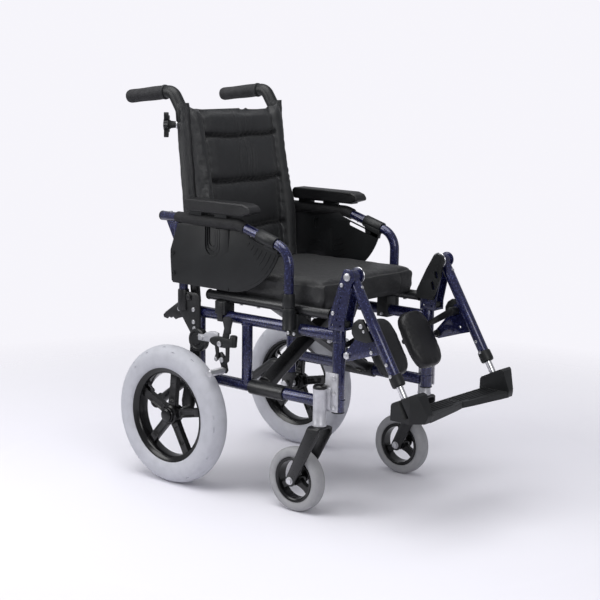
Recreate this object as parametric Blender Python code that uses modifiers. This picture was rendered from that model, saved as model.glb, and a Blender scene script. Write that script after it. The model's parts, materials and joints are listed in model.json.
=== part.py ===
"""Folding transit wheelchair for a child, with elevating legrests, as separate pieces.

The chair faces -Y, +Z is up and +X is the sitter's left. Lengths are in metres.
While it is drawn, y = 0 is the rear axle and z = 0 the floor. The last step moves
the whole chair along y, so that its box is centred on the origin.
The left half is drawn, and every side piece is then copied to the right half.
"""
import math

import bmesh
import bpy
from mathutils import Matrix, Vector

# Running clearances
FIT = 0.0003
BEARING_GAP = 0.0005
WELD = 0.00001

# Width: the seat sets it, and the frame, arms, wheels and legrests keep their places beside it
SEAT_HALF_WIDTH = 0.1640
SEAT_FLARE = 0.0050
SIDE_X = SEAT_HALF_WIDTH - 0.0050
REAR_WHEEL_X = SIDE_X + 0.0620
CASTER_X = SIDE_X + 0.0300
CANE_X = SIDE_X - 0.0035
ARM_X = SIDE_X + 0.0265
LEG_X = SIDE_X + 0.0040
CALF_X = 0.062

# Side frame
TUBE_R = 0.0125
POST_R = 0.0118
FRONT_POST_R = 0.0135
UPPER_Z = 0.3875
LOWER_Z = 0.240
REAR_POST_Y = -0.026
MID_POST_Y = -0.168
FRONT_POST_Y = -0.425
FRONT_POST_RISE = 0.0150
FRONT_POST_DROP = 0.0150
REAR_POST_DROP = 0.045
HANGER_PIN_R = 0.006
HANGER_PIN_LENGTH = 0.045

# Cross brace and seat rails
RAIL_R = 0.011
RAIL_Z = 0.430
RAIL_REAR_Y = -0.056
RAIL_FRONT_Y = -0.400
BRACE_Y = -0.232
BRACE_WIDTH = 0.036
BRACE_THICKNESS = 0.022
BRACE_GAP = 0.004
SLEEVE_LENGTH = 0.097
SLEEVE_WALL = 0.0035
CRADLE_LENGTH = 0.030
CRADLE_WALL = 0.0045
CRADLE_DEPTH = 0.0022
REAR_CRADLE_Y = -0.100
BRACE_BOLT_R = 0.005
BRACE_BOLT_HEAD_R = 0.009
BRACE_BOLT_HEAD = 0.005

# Rear bracket, axle and rear wheel
REAR_TYRE_R = 0.1575
REAR_TYRE_WIDTH = 0.054
RIM_R = 0.106
RIM_DEPTH = 0.012
RIM_WIDTH = 0.040
SPOKES = 5
SPOKE_START = math.radians(6)
SPOKE_WIDTH = 0.020
SPOKE_THICKNESS = 0.014
HUB_R = 0.021
AXLE_R = 0.006
AXLE_NUT_R = 0.0105
AXLE_CAP_R = 0.0145
AXLE_CAP = 0.004
BRACKET_PLATE = 0.005
BRACKET_EDGE = 0.010
BRACKET_FRONT_EDGE = 0.014
BRACKET_TOP_DROP = 0.004
BRACKET_WAIST_Y = -0.012
BRACKET_WAIST_TOP_Z = 0.338
BRACKET_WAIST_LOW_Z = 0.300
BRACKET_TAPER_Z = 0.230
BRACKET_FOOT_HALF = 0.012
BRACKET_FOOT_DROP = 0.0165
BRACKET_FOOT_RISE = 0.0205
BRACKET_FOOT_CORNER = 0.0025
BRACKET_BOLT_Y = -0.020
BRACKET_BOLT_ZS = (0.393, 0.365)
BOSS_Y = -0.040
BOSS_DROP = 0.010
BOSS_TAPER = 0.004
BOSS_R = 0.026
BOSS_PROUD = 0.010
BOLT_R = 0.0048
BOLT_HEAD = 0.003

# Caster
CASTER_Y = -0.400
CASTER_TRAIL = 0.059
CASTER_R = 0.070
CASTER_WIDTH = 0.032
CASTER_HUB_R = 0.0492
CASTER_RING = 0.0075
HOUSING_R = 0.0150
HOUSING_BOTTOM = 0.197
HOUSING_TOP = 0.286
HOUSING_PLATE = 0.0045
HOUSING_CHAMFER = 0.003
HOUSING_ROOF = 0.010
HOUSING_PLATE_LOW = 0.228
HOUSING_PLATE_TOP = 0.311
HOUSING_PLATE_FRONT = 0.011
HOUSING_PLATE_REAR = 0.004
HOUSING_BOLT_FRONT = 0.003
HOUSING_BOLT_RISES = (0.010, 0.040, 0.073)
FORK_STEM_R = 0.0065
FORK_BAR = 0.005
FORK_BAR_WIDTH = 0.030
FORK_SIDE_GAP = 0.0035
FORK_CROWN = 0.009
CASTER_AXLE_R = 0.004
CASTER_NUT_R = 0.0075

# Backrest
CANE_R = 0.011
CANE_TILT = math.radians(6.2)
RECLINE_Y = -0.008
RECLINE_Z = 0.420
CANE_FOOT = 0.0145
CANE_BEND_R = 0.040
GRIP_Y = 0.085
GRIP_END_Y = 0.206
GRIP_AXIS_Z = 0.8715
GRIP_SLOPE = math.radians(-6.7)
GRIP_R = 0.0155
GRIP_END_WALL = 0.008
KNOB_Z = 0.801
KNOB_R = 0.030
KNOB_THICKNESS = 0.016
KNOB_STANDOFF = 0.0165
KNOB_TURN = math.radians(40)
KNOB_STUD_R = 0.004
KNOB_NECK_R = 0.007
KNOB_LOBES = 5
PIVOT_BOLT_R = 0.005
PIVOT_HEAD_R = 0.008
PIVOT_HEAD = 0.0045
BACK_OVERHANG = 0.0070
BACK_TOP_FLARE = 0.0015
BACK_LOW = 0.036
BACK_TALL = 0.392
BACK_PANEL = 0.026
BACK_BOLSTER = 0.040
BACK_TOP_BOLSTER = 0.012
BACK_TOP_SAG = 0.018
BACK_BOLSTER_WIDTH = 0.046
BACK_SEAMS = (0.110, 0.216, 0.319)
BACK_SEAM_DEPTH = 0.011

# Seat cushion
SEAT_REAR_Y = -0.058
SEAT_FRONT_Y = -0.386
SEAT_THICKNESS = 0.052
SEAT_CROWN = 0.006
SEAT_DRAW_IN = 0.004

# Armrest
ARM_TUBE_R = 0.0105
ARM_TOP_Z = 0.598
ARM_REAR_TIP_Y = 0.066
ARM_SLOPE_Y = -0.165
ARM_FRONT_POST_Y = -0.308
ARM_FRONT_CORNER_Z = 0.556
ARM_REAR_POST_Y = 0.017
ARM_POST_BOTTOM = 0.4035
ARM_BEND_R = 0.045
SOCKET_WALL = 0.003
SOCKET_TOP = 0.435
SOCKET_BOTTOM = 0.388
GUSSET = 0.004
GUSSET_DROP = 0.052
GUSSET_REACH = 0.036
PANEL_THICKNESS = 0.0035
PANEL_REAR_Y = 0.050
PANEL_BOTTOM_Z = 0.446
PANEL_TOP_Z = 0.598
PANEL_CORNER_Y = -0.130
PANEL_ARC_R = 0.150
PANEL_TOP_INSET = 0.022
PANEL_SHOULDER_DROP = 0.024
PANEL_SLANT_DROP = 0.078
PANEL_WAIST_DROP = 0.093
PANEL_FOOT_INSET = 0.005
PAD_REAR_Y = -0.014
PAD_FRONT_Y = -0.211
PAD_WIDTH = 0.038
PAD_BOTTOM_Z = 0.619
PAD_THICKNESS = 0.026
PAD_INSET = 0.0195
PAD_ROUNDING = 0.008
PAD_FOOT_LENGTH = 0.036
PAD_FOOT_YS = (-0.119, -0.044)

# Wheel lock
LOCK_STUB_R = 0.0075
LOCK_STUB_GAP = 0.0107
LOCK_STUB_ANGLE = math.radians(138.46)
LOCK_STUB_REACH = REAR_TYRE_R + LOCK_STUB_GAP + LOCK_STUB_R
LOCK_STUB_Y = LOCK_STUB_REACH * math.cos(LOCK_STUB_ANGLE)
LOCK_STUB_Z = REAR_TYRE_R + LOCK_STUB_REACH * math.sin(LOCK_STUB_ANGLE)
LOCK_STUB_INSET = 0.005
LOCK_ARM_MARGIN = 0.0005
LOCK_ARM_Y = LOCK_STUB_Y + 0.004
LOCK_ARM_Z = LOCK_STUB_Z + 0.023
LOCK_BODY_Y = LOCK_ARM_Y + 0.0035
LOCK_BODY_Z = LOCK_ARM_Z + 0.036
LOCK_BODY_LONG = 0.074
LOCK_BODY_TALL = 0.026
LOCK_BODY_THICKNESS = 0.008
LOCK_BAR_Z = LOCK_BODY_Z + 0.004
LOCK_BAR_REAR_Y = BOSS_Y - 0.010
LOCK_BAR_FRONT_Y = LOCK_BODY_Y - 0.036
LOCK_BAR_TALL = 0.014
LOCK_BAR_THICKNESS = 0.005
LOCK_TAB = 0.004
LOCK_NECK = 0.0055
LOCK_NECK_RISE = 0.034
LOCK_EYE_R = 0.009
LOCK_PIN_R = 0.004
LOCK_PIN_HEAD_R = 0.0065
LOCK_PIN_HEAD = 0.003
LOCK_GRIP_START = 0.027
LOCK_GRIP_TOP = 0.059
LOCK_GRIP_HALF = 0.012

# Legrest
LEG_TUBE_R = 0.0115
KNEE_Y = -0.459
KNEE_Z = 0.517
LEG_TILT = math.radians(30.8)
LEG_TUBE_LENGTH = 0.242
COLLAR_R = 0.0145
COLLAR_LENGTH = 0.022
COLLAR_LIP = 0.003
HANGER_PLATE = 0.004
HANGER_BASE = 0.006
KNEE_DISC_R = 0.0165
KNEE_BOLT_R = 0.005
KNEE_HEAD_R = 0.0085
KNEE_HEAD = 0.004
KNEE_EYE_R = 0.0135
WEB_THICKNESS = 0.005
WEB_TOP = 0.098
WEB_BOTTOM = 0.172
KNEE_WASHER = 0.0007
GUARD_THICKNESS = 0.006
GUARD_TOP_R = 0.0150
GUARD_DROP = 0.088
GUARD_REAR = 0.021
GUARD_FRONT = 0.024
LEVER_ALONG = 0.113
LEVER_AHEAD = -0.0225
LEVER_REACH = 0.100
LEVER_THICKNESS = 0.006
LEVER_HUB_R = 0.0095
STEM_R = 0.007
STEM_LENGTH = 0.061
STEM_INSERTION = 0.090
CALF_ALONG = 0.1465
CALF_AHEAD = -0.0700
CALF_ROD_AHEAD = -0.0915
CALF_ROD_ALONG = 0.1390
CALF_WIDTH = 0.096
CALF_TALL = 0.134
CALF_THICKNESS = 0.030
CALF_ARM_R = 0.006
CALF_PLATE = 0.003
FOOT_PIN_R = 0.0035
FOOT_PIN_REACH = 0.019
FOOT_REAR = 0.036
FOOT_TREAD_REAR = 0.028
FOOT_FRONT = 0.039
FOOT_MIDDLE_FRONT = 0.016
FOOT_LOW = 0.017
FOOT_HIGH = 0.042
FOOT_BLOCK_WIDTH = 0.042
FOOT_PLATE = 0.013
FOOT_MIDDLE_GAP = 0.002
FOOT_STEM_HEEL = 0.003
FOOT_SLOT_GAP = 0.0018

# Tipping lever
TIP_END_Y = 0.120
TIP_END_Z = 0.150
TIP_START_Z = 0.212
TIP_STRAIGHT = 0.045
TIP_BEND_R = 0.030
TIP_R = 0.0105
TIP_CAP_R = 0.0130
TIP_CAP_LENGTH = 0.030

# Facets around round pieces
TUBE_SIDES = 12
PIN_SIDES = 8
TUBE_BEVEL = 3
REAR_TYRE_STEPS = 32
CASTER_STEPS = 20


for item in list(bpy.data.objects):
    bpy.data.objects.remove(item, do_unlink=True)

parts = bpy.data.collections.new("wheelchair")
bpy.context.scene.collection.children.link(parts)


def link(item):
    parts.objects.link(item)
    return item


def material(name, colour, roughness, metallic):
    finish = bpy.data.materials.new(name)
    finish.use_nodes = True
    shader = finish.node_tree.nodes["Principled BSDF"]
    shader.inputs["Base Color"].default_value = (*colour, 1.0)
    shader.inputs["Roughness"].default_value = roughness
    shader.inputs["Metallic"].default_value = metallic
    return finish


def mesh_item(name, bm):
    """Weld, face outwards and wrap a bmesh as an object."""
    bmesh.ops.remove_doubles(bm, verts=bm.verts, dist=WELD)
    bmesh.ops.recalc_face_normals(bm, faces=bm.faces)
    mesh = bpy.data.meshes.new(name)
    bm.to_mesh(mesh)
    bm.free()
    return link(bpy.data.objects.new(name, mesh))


def bake(item, transform=None):
    """Replace an object's data by its evaluated mesh, welded and facing outwards."""
    graph = bpy.context.evaluated_depsgraph_get()
    mesh = bpy.data.meshes.new_from_object(item.evaluated_get(graph))
    bm = bmesh.new()
    bm.from_mesh(mesh)
    bpy.data.meshes.remove(mesh)
    bm.transform(transform if transform is not None else item.matrix_world)
    name = item.name
    bpy.data.objects.remove(item, do_unlink=True)
    return mesh_item(name, bm)


def combine(target, others, operation):
    for other in others:
        modifier = target.modifiers.new(operation.title(), "BOOLEAN")
        modifier.operation = operation
        modifier.object = other
    result = bake(target)
    for other in others:
        bpy.data.objects.remove(other, do_unlink=True)
    return result


def union(target, *others):
    return combine(target, others, "UNION")


def cut(target, *others):
    return combine(target, others, "DIFFERENCE")


def aim(start, end):
    """The transform that puts local Z along the line from start to end."""
    direction = Vector(end) - Vector(start)
    turn = direction.to_track_quat("Z", "Y").to_matrix().to_4x4()
    return Matrix.Translation(Vector(start)) @ turn


def rod(start, end, radius, sides=TUBE_SIDES, end_radius=None):
    length = (Vector(end) - Vector(start)).length
    bm = bmesh.new()
    bmesh.ops.create_cone(
        bm, cap_ends=True, segments=sides, radius1=radius,
        radius2=radius if end_radius is None else end_radius, depth=length)
    bm.transform(aim(start, end) @ Matrix.Translation((0.0, 0.0, length / 2)))
    return mesh_item("rod", bm)


def hole(start, end, radius, sides=TUBE_SIDES):
    """A cutter for a bore whose flats, not only its corners, clear the given radius."""
    return rod(start, end, radius / math.cos(math.pi / sides), sides)


def block(low, high, bevel=0.0):
    low = Vector(low)
    size = Vector(high) - low
    bm = bmesh.new()
    bmesh.ops.create_cube(bm, size=1.0)
    bm.transform(Matrix.Translation(low + size / 2) @ Matrix.Diagonal((*size, 1.0)))
    if bevel:
        bmesh.ops.bevel(bm, geom=list(bm.edges), offset=bevel, segments=1, affect="EDGES")
    return mesh_item("block", bm)


def rounded_route(corners, radius, steps=5):
    """Corner points with each inner corner replaced by an arc of the given radius."""
    corners = [Vector(corner) for corner in corners]
    route = [corners[0]]
    for before, corner, after in zip(corners, corners[1:], corners[2:]):
        back = (before - corner).normalized()
        ahead = (after - corner).normalized()
        half = back.angle(ahead) / 2
        reach = radius / math.tan(half)
        centre = corner + (back + ahead).normalized() * (radius / math.sin(half))
        first = (corner + back * reach - centre).normalized()
        last = (corner + ahead * reach - centre).normalized()
        for step in range(steps + 1):
            route.append(centre + first.slerp(last, step / steps) * radius)
    route.append(corners[-1])
    return route


def tube(route, radius, bevel=TUBE_BEVEL):
    """A round bar along a route, from a curve with filled caps."""
    curve = bpy.data.curves.new("tube", "CURVE")
    curve.dimensions = "3D"
    curve.bevel_depth = radius
    curve.bevel_resolution = bevel
    curve.use_fill_caps = True
    spline = curve.splines.new("POLY")
    spline.points.add(len(route) - 1)
    for point, place in zip(spline.points, route):
        point.co = (*place, 1.0)
    return bake(link(bpy.data.objects.new("tube", curve)))


SIDE_VIEW = Matrix(((0, 0, 1, 0), (1, 0, 0, 0), (0, 1, 0, 0), (0, 0, 0, 1)))


def sheet(outline, thickness, transform):
    """A flat outline, as a filled curve, with its thickness centred on its plane."""
    curve = bpy.data.curves.new("sheet", "CURVE")
    curve.dimensions = "2D"
    curve.fill_mode = "BOTH"
    curve.extrude = thickness / 2
    spline = curve.splines.new("POLY")
    spline.use_cyclic_u = True
    spline.points.add(len(outline) - 1)
    for point, place in zip(spline.points, outline):
        point.co = (place[0], place[1], 0.0, 1.0)
    return bake(link(bpy.data.objects.new("sheet", curve)), transform)


def plate(outline, inner_x, outer_x):
    """A plate seen from the side: its outline is given in y and z."""
    middle = Matrix.Translation(((inner_x + outer_x) / 2, 0.0, 0.0))
    return sheet(outline, outer_x - inner_x, middle @ SIDE_VIEW)


def arc(centre, radius, start, end, steps):
    """Points on an arc, with its angles in degrees."""
    points = []
    for step in range(steps + 1):
        angle = math.radians(start + (end - start) * step / steps)
        points.append((centre[0] + radius * math.cos(angle), centre[1] + radius * math.sin(angle)))
    return points


def turned(profile, transform, steps, closed=False):
    """A turned solid: (radius, height) points swept round local Z with a Screw modifier."""
    bm = bmesh.new()
    corners = [bm.verts.new((radius, 0.0, height)) for radius, height in profile]
    for first, second in zip(corners, corners[1:]):
        bm.edges.new((first, second))
    if closed:
        bm.edges.new((corners[-1], corners[0]))
    mesh = bpy.data.meshes.new("turned")
    bm.to_mesh(mesh)
    bm.free()
    item = link(bpy.data.objects.new("turned", mesh))
    screw = item.modifiers.new("Screw", "SCREW")
    screw.steps = steps
    screw.render_steps = steps
    screw.use_merge_vertices = True
    screw.merge_threshold = WELD
    return bake(item, transform)


def across(x, y, z):
    """Local Z along +X, through the given point."""
    return Matrix.Translation((x, y, z)) @ Matrix.Rotation(math.radians(90), 4, "Y")


def loft(rings):
    """A closed solid through rings with the same number of points, capped at both ends."""
    bm = bmesh.new()
    rows = [[bm.verts.new(point) for point in ring] for ring in rings]
    for near, far in zip(rows, rows[1:]):
        for index in range(len(near)):
            following = (index + 1) % len(near)
            bm.faces.new((near[index], near[following], far[following], far[index]))
    bm.faces.new(rows[0])
    bm.faces.new(rows[-1])
    return mesh_item("loft", bm)


def smooth(item, angle=35):
    item.data.shade_smooth()
    item.data.set_sharp_from_angle(angle=math.radians(angle))
    return item


def joint(name, place, parent):
    """An empty on a joint's axis, which carries the pieces that move with it."""
    empty = link(bpy.data.objects.new(name, None))
    empty.empty_display_size = 0.03
    empty.parent = parent
    bpy.context.view_layer.update()
    if parent is not None:
        empty.matrix_parent_inverse = parent.matrix_world.inverted()
    empty.location = place
    bpy.context.view_layer.update()
    return empty


def settle(item, name, finish, parent):
    """Name a finished piece, give it its material and hang it on its carrier."""
    item.name = name
    item.data.name = name
    item.data.materials.clear()
    item.data.materials.append(finish)
    smooth(item)
    item.parent = parent
    item.matrix_parent_inverse = parent.matrix_world.inverted()
    return item


def mirrored(item):
    copy = item.copy()
    copy.data = item.data.copy()
    bm = bmesh.new()
    bm.from_mesh(copy.data)
    bm.transform(Matrix.Scale(-1, 4, (1, 0, 0)))
    bmesh.ops.reverse_faces(bm, faces=bm.faces)
    bm.to_mesh(copy.data)
    bm.free()
    copy.parent = None
    return link(copy)


def both_sides(name, builder, finish, carriers):
    """Draw the left piece, copy it to the right, and hang each on its side's carrier."""
    left = builder()
    right = mirrored(left)
    settle(left, "left_" + name, finish, carriers[0])
    settle(right, "right_" + name, finish, carriers[1])


def leg_point(along, ahead=0.0, x=LEG_X):
    """A point on the legrest: metres down the tube from the knee, and ahead of it."""
    down = Vector((0.0, -math.sin(LEG_TILT), -math.cos(LEG_TILT)))
    front = Vector((0.0, -math.cos(LEG_TILT), math.sin(LEG_TILT)))
    return Vector((x, KNEE_Y, KNEE_Z)) + down * along + front * ahead


def bolt_head(x, y, z, radius=BOLT_R, height=BOLT_HEAD):
    sunk = 0.001
    return rod((x - sunk, y, z), (x + height, y, z), radius, PIN_SIDES)


# Side frame

def cradle_top():
    return RAIL_Z - RAIL_R - FIT + CRADLE_DEPTH


def cradle(y):
    """A saddle on the upper tube that the seat rail drops into from above."""
    half = RAIL_R + CRADLE_WALL
    low = (SIDE_X - half, y - CRADLE_LENGTH / 2, UPPER_Z + TUBE_R / 2)
    high = (SIDE_X + half, y + CRADLE_LENGTH / 2, cradle_top())
    saddle = block(low, high, 0.001)
    groove = hole((SIDE_X, y - CRADLE_LENGTH, RAIL_Z), (SIDE_X, y + CRADLE_LENGTH, RAIL_Z), RAIL_R + FIT)
    return cut(saddle, groove)


def side_frame():
    post_top = UPPER_Z + FRONT_POST_RISE
    frame = rod((SIDE_X, REAR_POST_Y + TUBE_R, UPPER_Z), (SIDE_X, FRONT_POST_Y, UPPER_Z), TUBE_R)
    lower = rod((SIDE_X, REAR_POST_Y, LOWER_Z), (SIDE_X, FRONT_POST_Y, LOWER_Z), TUBE_R)
    front = rod((SIDE_X, FRONT_POST_Y, LOWER_Z - FRONT_POST_DROP), (SIDE_X, FRONT_POST_Y, post_top),
                FRONT_POST_R)
    middle = rod((SIDE_X, MID_POST_Y, LOWER_Z), (SIDE_X, MID_POST_Y, UPPER_Z), POST_R)
    rear = rod((SIDE_X, REAR_POST_Y, LOWER_Z - REAR_POST_DROP), (SIDE_X, REAR_POST_Y, UPPER_Z), POST_R)
    frame = union(frame, front, middle, rear, lower, cradle(REAR_CRADLE_Y))
    bore = hole((SIDE_X, FRONT_POST_Y, post_top - HANGER_PIN_LENGTH - FIT),
                (SIDE_X, FRONT_POST_Y, post_top + FIT), HANGER_PIN_R + FIT)
    return cut(frame, bore)


def front_receiver():
    """The clamp on the upper tube with the front socket of the armrest and a seat rail saddle."""
    half = CRADLE_LENGTH / 2
    outer = ARM_TUBE_R + FIT + SOCKET_WALL
    clamp_half = TUBE_R + FIT + SOCKET_WALL
    clamp = block((SIDE_X - clamp_half, ARM_FRONT_POST_Y - half, UPPER_Z - clamp_half),
                  (SIDE_X + clamp_half, ARM_FRONT_POST_Y + half, cradle_top()), 0.002)
    socket = rod((ARM_X, ARM_FRONT_POST_Y, SOCKET_BOTTOM), (ARM_X, ARM_FRONT_POST_Y, SOCKET_TOP), outer)
    body = union(clamp, socket)
    long = CRADLE_LENGTH
    tube_hole = hole((SIDE_X, ARM_FRONT_POST_Y - long, UPPER_Z), (SIDE_X, ARM_FRONT_POST_Y + long, UPPER_Z),
                    TUBE_R + FIT)
    groove = hole((SIDE_X, ARM_FRONT_POST_Y - long, RAIL_Z), (SIDE_X, ARM_FRONT_POST_Y + long, RAIL_Z),
                 RAIL_R + FIT)
    post_hole = hole((ARM_X, ARM_FRONT_POST_Y, SOCKET_BOTTOM - long),
                    (ARM_X, ARM_FRONT_POST_Y, SOCKET_TOP + long), ARM_TUBE_R + FIT)
    return cut(body, tube_hole, groove, post_hole)


# Rear bracket, axle and rear wheel

def rear_bracket():
    inner = SIDE_X + TUBE_R + FIT
    outer = inner + BRACKET_PLATE
    top = SOCKET_TOP - BRACKET_TOP_DROP
    rear = ARM_REAR_POST_Y + BRACKET_EDGE
    front = REAR_POST_Y - BRACKET_FRONT_EDGE
    foot = REAR_TYRE_R - BRACKET_FOOT_DROP
    outline = [
        (rear, top), (rear, SOCKET_BOTTOM), (BRACKET_WAIST_Y, BRACKET_WAIST_TOP_Z),
        (BRACKET_WAIST_Y + 0.002, BRACKET_WAIST_LOW_Z),
        (BRACKET_FOOT_HALF + 0.004, REAR_TYRE_R + BRACKET_FOOT_RISE), (BRACKET_FOOT_HALF, foot),
        (-BRACKET_FOOT_HALF, foot), (-BRACKET_FOOT_HALF - 0.006, REAR_TYRE_R + BRACKET_FOOT_CORNER),
        (front, BRACKET_TAPER_Z), (front, top - 0.008), (front + BRACKET_EDGE, top)]
    bracket = plate(outline, inner, outer)
    boss_z = LOCK_BAR_Z - BOSS_DROP
    boss = rod((inner + 0.001, BOSS_Y, boss_z), (outer + BOSS_PROUD, BOSS_Y, boss_z), BOSS_R,
               TUBE_SIDES + 4, BOSS_R - BOSS_TAPER)
    socket = rod((ARM_X, ARM_REAR_POST_Y, SOCKET_BOTTOM), (ARM_X, ARM_REAR_POST_Y, SOCKET_TOP),
                 ARM_TUBE_R + FIT + SOCKET_WALL)
    bolts = [bolt_head(outer, BRACKET_BOLT_Y, z) for z in BRACKET_BOLT_ZS]
    bracket = union(bracket, boss, socket, *bolts)
    post_hole = hole((ARM_X, ARM_REAR_POST_Y, SOCKET_BOTTOM - 0.02),
                    (ARM_X, ARM_REAR_POST_Y, SOCKET_TOP + 0.02), ARM_TUBE_R + FIT)
    axle_hole = hole((inner - 0.01, 0.0, REAR_TYRE_R), (outer + 0.01, 0.0, REAR_TYRE_R), AXLE_R + FIT)
    pivot_hole = hole((inner - 0.01, RECLINE_Y, RECLINE_Z), (outer + 0.01, RECLINE_Y, RECLINE_Z),
                     PIVOT_BOLT_R + FIT, PIN_SIDES)
    return cut(bracket, post_hole, axle_hole, pivot_hole)


def rear_axle():
    """The axle bolt: nut, shank, spacer collar and domed end cap in one turned piece."""
    plate_inner = SIDE_X + TUBE_R + FIT
    plate_outer = plate_inner + BRACKET_PLATE
    hub_inner = REAR_WHEEL_X - RIM_WIDTH / 2
    hub_outer = REAR_WHEEL_X + RIM_WIDTH / 2
    nut = 0.010
    profile = [
        (0.0, hub_outer + BEARING_GAP + AXLE_CAP), (AXLE_CAP_R * 0.7, hub_outer + BEARING_GAP + AXLE_CAP),
        (AXLE_CAP_R, hub_outer + BEARING_GAP + AXLE_CAP / 2), (AXLE_CAP_R, hub_outer + BEARING_GAP),
        (AXLE_R, hub_outer + BEARING_GAP), (AXLE_R, hub_inner - BEARING_GAP),
        (AXLE_NUT_R, hub_inner - BEARING_GAP), (AXLE_NUT_R, plate_outer + FIT), (AXLE_R, plate_outer + FIT),
        (AXLE_R, plate_inner - FIT), (AXLE_NUT_R, plate_inner - FIT), (AXLE_NUT_R, plate_inner - nut),
        (0.0, plate_inner - nut)]
    return turned(profile, across(0.0, 0.0, REAR_TYRE_R), TUBE_SIDES)


def tyre_profile(outer, inner, width, bulge, points):
    """A closed tyre section: a flat seat on the rim and a rounded tread side."""
    profile = [(inner, -width * 0.34)]
    middle = (outer + inner) / 2
    tall = (outer - inner) / 2
    for step in range(points + 1):
        angle = math.radians(-100 + 200 * step / points)
        across_tyre = math.copysign(abs(math.sin(angle)) ** bulge, angle) * width / 2
        out = math.copysign(abs(math.cos(angle)) ** bulge, math.cos(angle)) * tall
        profile.append((middle + out, across_tyre))
    profile.append((inner, width * 0.34))
    return profile


def rear_tyre():
    profile = tyre_profile(REAR_TYRE_R, RIM_R + FIT, REAR_TYRE_WIDTH, 0.85, 6)
    return turned(profile, across(REAR_WHEEL_X, 0.0, REAR_TYRE_R), REAR_TYRE_STEPS, closed=True)


def rear_rim():
    centre = across(REAR_WHEEL_X, 0.0, REAR_TYRE_R)
    half = RIM_WIDTH / 2
    inner = RIM_R - RIM_DEPTH
    ring = turned([(RIM_R, half), (RIM_R, -half), (inner + 0.003, -half), (inner, -half / 2),
                   (inner, half / 2), (inner + 0.003, half)], centre, REAR_TYRE_STEPS, closed=True)
    hub = turned([(0.0, half), (HUB_R - 0.004, half), (HUB_R, half * 0.6), (HUB_R, -half * 0.6),
                  (HUB_R - 0.004, -half), (0.0, -half)], centre, TUBE_SIDES)
    spokes = []
    for index in range(SPOKES):
        spoke = block((-SPOKE_THICKNESS / 2, -SPOKE_WIDTH / 2, HUB_R / 2),
                      (SPOKE_THICKNESS / 2, SPOKE_WIDTH / 2, RIM_R - RIM_DEPTH / 2))
        turn = Matrix.Rotation(SPOKE_START + math.tau * index / SPOKES, 4, "X")
        spokes.append(bake(spoke, Matrix.Translation((REAR_WHEEL_X, 0.0, REAR_TYRE_R)) @ turn))
    rim = union(ring, *spokes)
    rim = union(rim, hub)
    far = half + 0.01
    bore = hole((REAR_WHEEL_X - far, 0.0, REAR_TYRE_R), (REAR_WHEEL_X + far, 0.0, REAR_TYRE_R),
                AXLE_R + BEARING_GAP)
    return cut(rim, bore)


def tipping_lever():
    """A foot bar behind the rear post: a flange, a bent tube and a rubber end cap."""
    start_y = REAR_POST_Y + POST_R + FIT
    flange = block((SIDE_X - POST_R, start_y, TIP_START_Z - 0.016),
                   (SIDE_X + POST_R, start_y + 0.005, TIP_START_Z + 0.016), 0.001)
    end = Vector((SIDE_X, TIP_END_Y, TIP_END_Z))
    bend = Vector((SIDE_X, start_y + TIP_STRAIGHT, TIP_START_Z))
    route = rounded_route([(SIDE_X, start_y + 0.002, TIP_START_Z), bend, end], TIP_BEND_R)
    bar = tube(route, TIP_R)
    along = (end - route[-2]).normalized()
    cap = rod(end - along * TIP_CAP_LENGTH, end + along * 0.002, TIP_CAP_R)
    return union(flange, bar, cap)


# Caster

def caster_housing():
    """The swivel housing with the plate that bolts it to the front post."""
    profile = [(0.0, HOUSING_TOP), (HOUSING_R - HOUSING_CHAMFER, HOUSING_TOP),
               (HOUSING_R, HOUSING_TOP - HOUSING_CHAMFER), (HOUSING_R, HOUSING_BOTTOM), (0.0, HOUSING_BOTTOM)]
    housing = turned(profile, Matrix.Translation((CASTER_X, CASTER_Y, 0.0)), TUBE_SIDES + 2)
    inner = SIDE_X + FRONT_POST_R + FIT
    outer = inner + HOUSING_PLATE
    flange = block((inner, FRONT_POST_Y - HOUSING_PLATE_FRONT, HOUSING_PLATE_LOW),
                   (outer, CASTER_Y - HOUSING_PLATE_REAR, HOUSING_PLATE_TOP), 0.001)
    bolts = [bolt_head(outer, FRONT_POST_Y - HOUSING_BOLT_FRONT, HOUSING_PLATE_LOW + rise)
             for rise in HOUSING_BOLT_RISES]
    body = union(housing, flange, *bolts)
    bore = hole((CASTER_X, CASTER_Y, HOUSING_BOTTOM - 0.01), (CASTER_X, CASTER_Y, HOUSING_TOP - HOUSING_ROOF),
               FORK_STEM_R + BEARING_GAP)
    return cut(body, bore)


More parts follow.
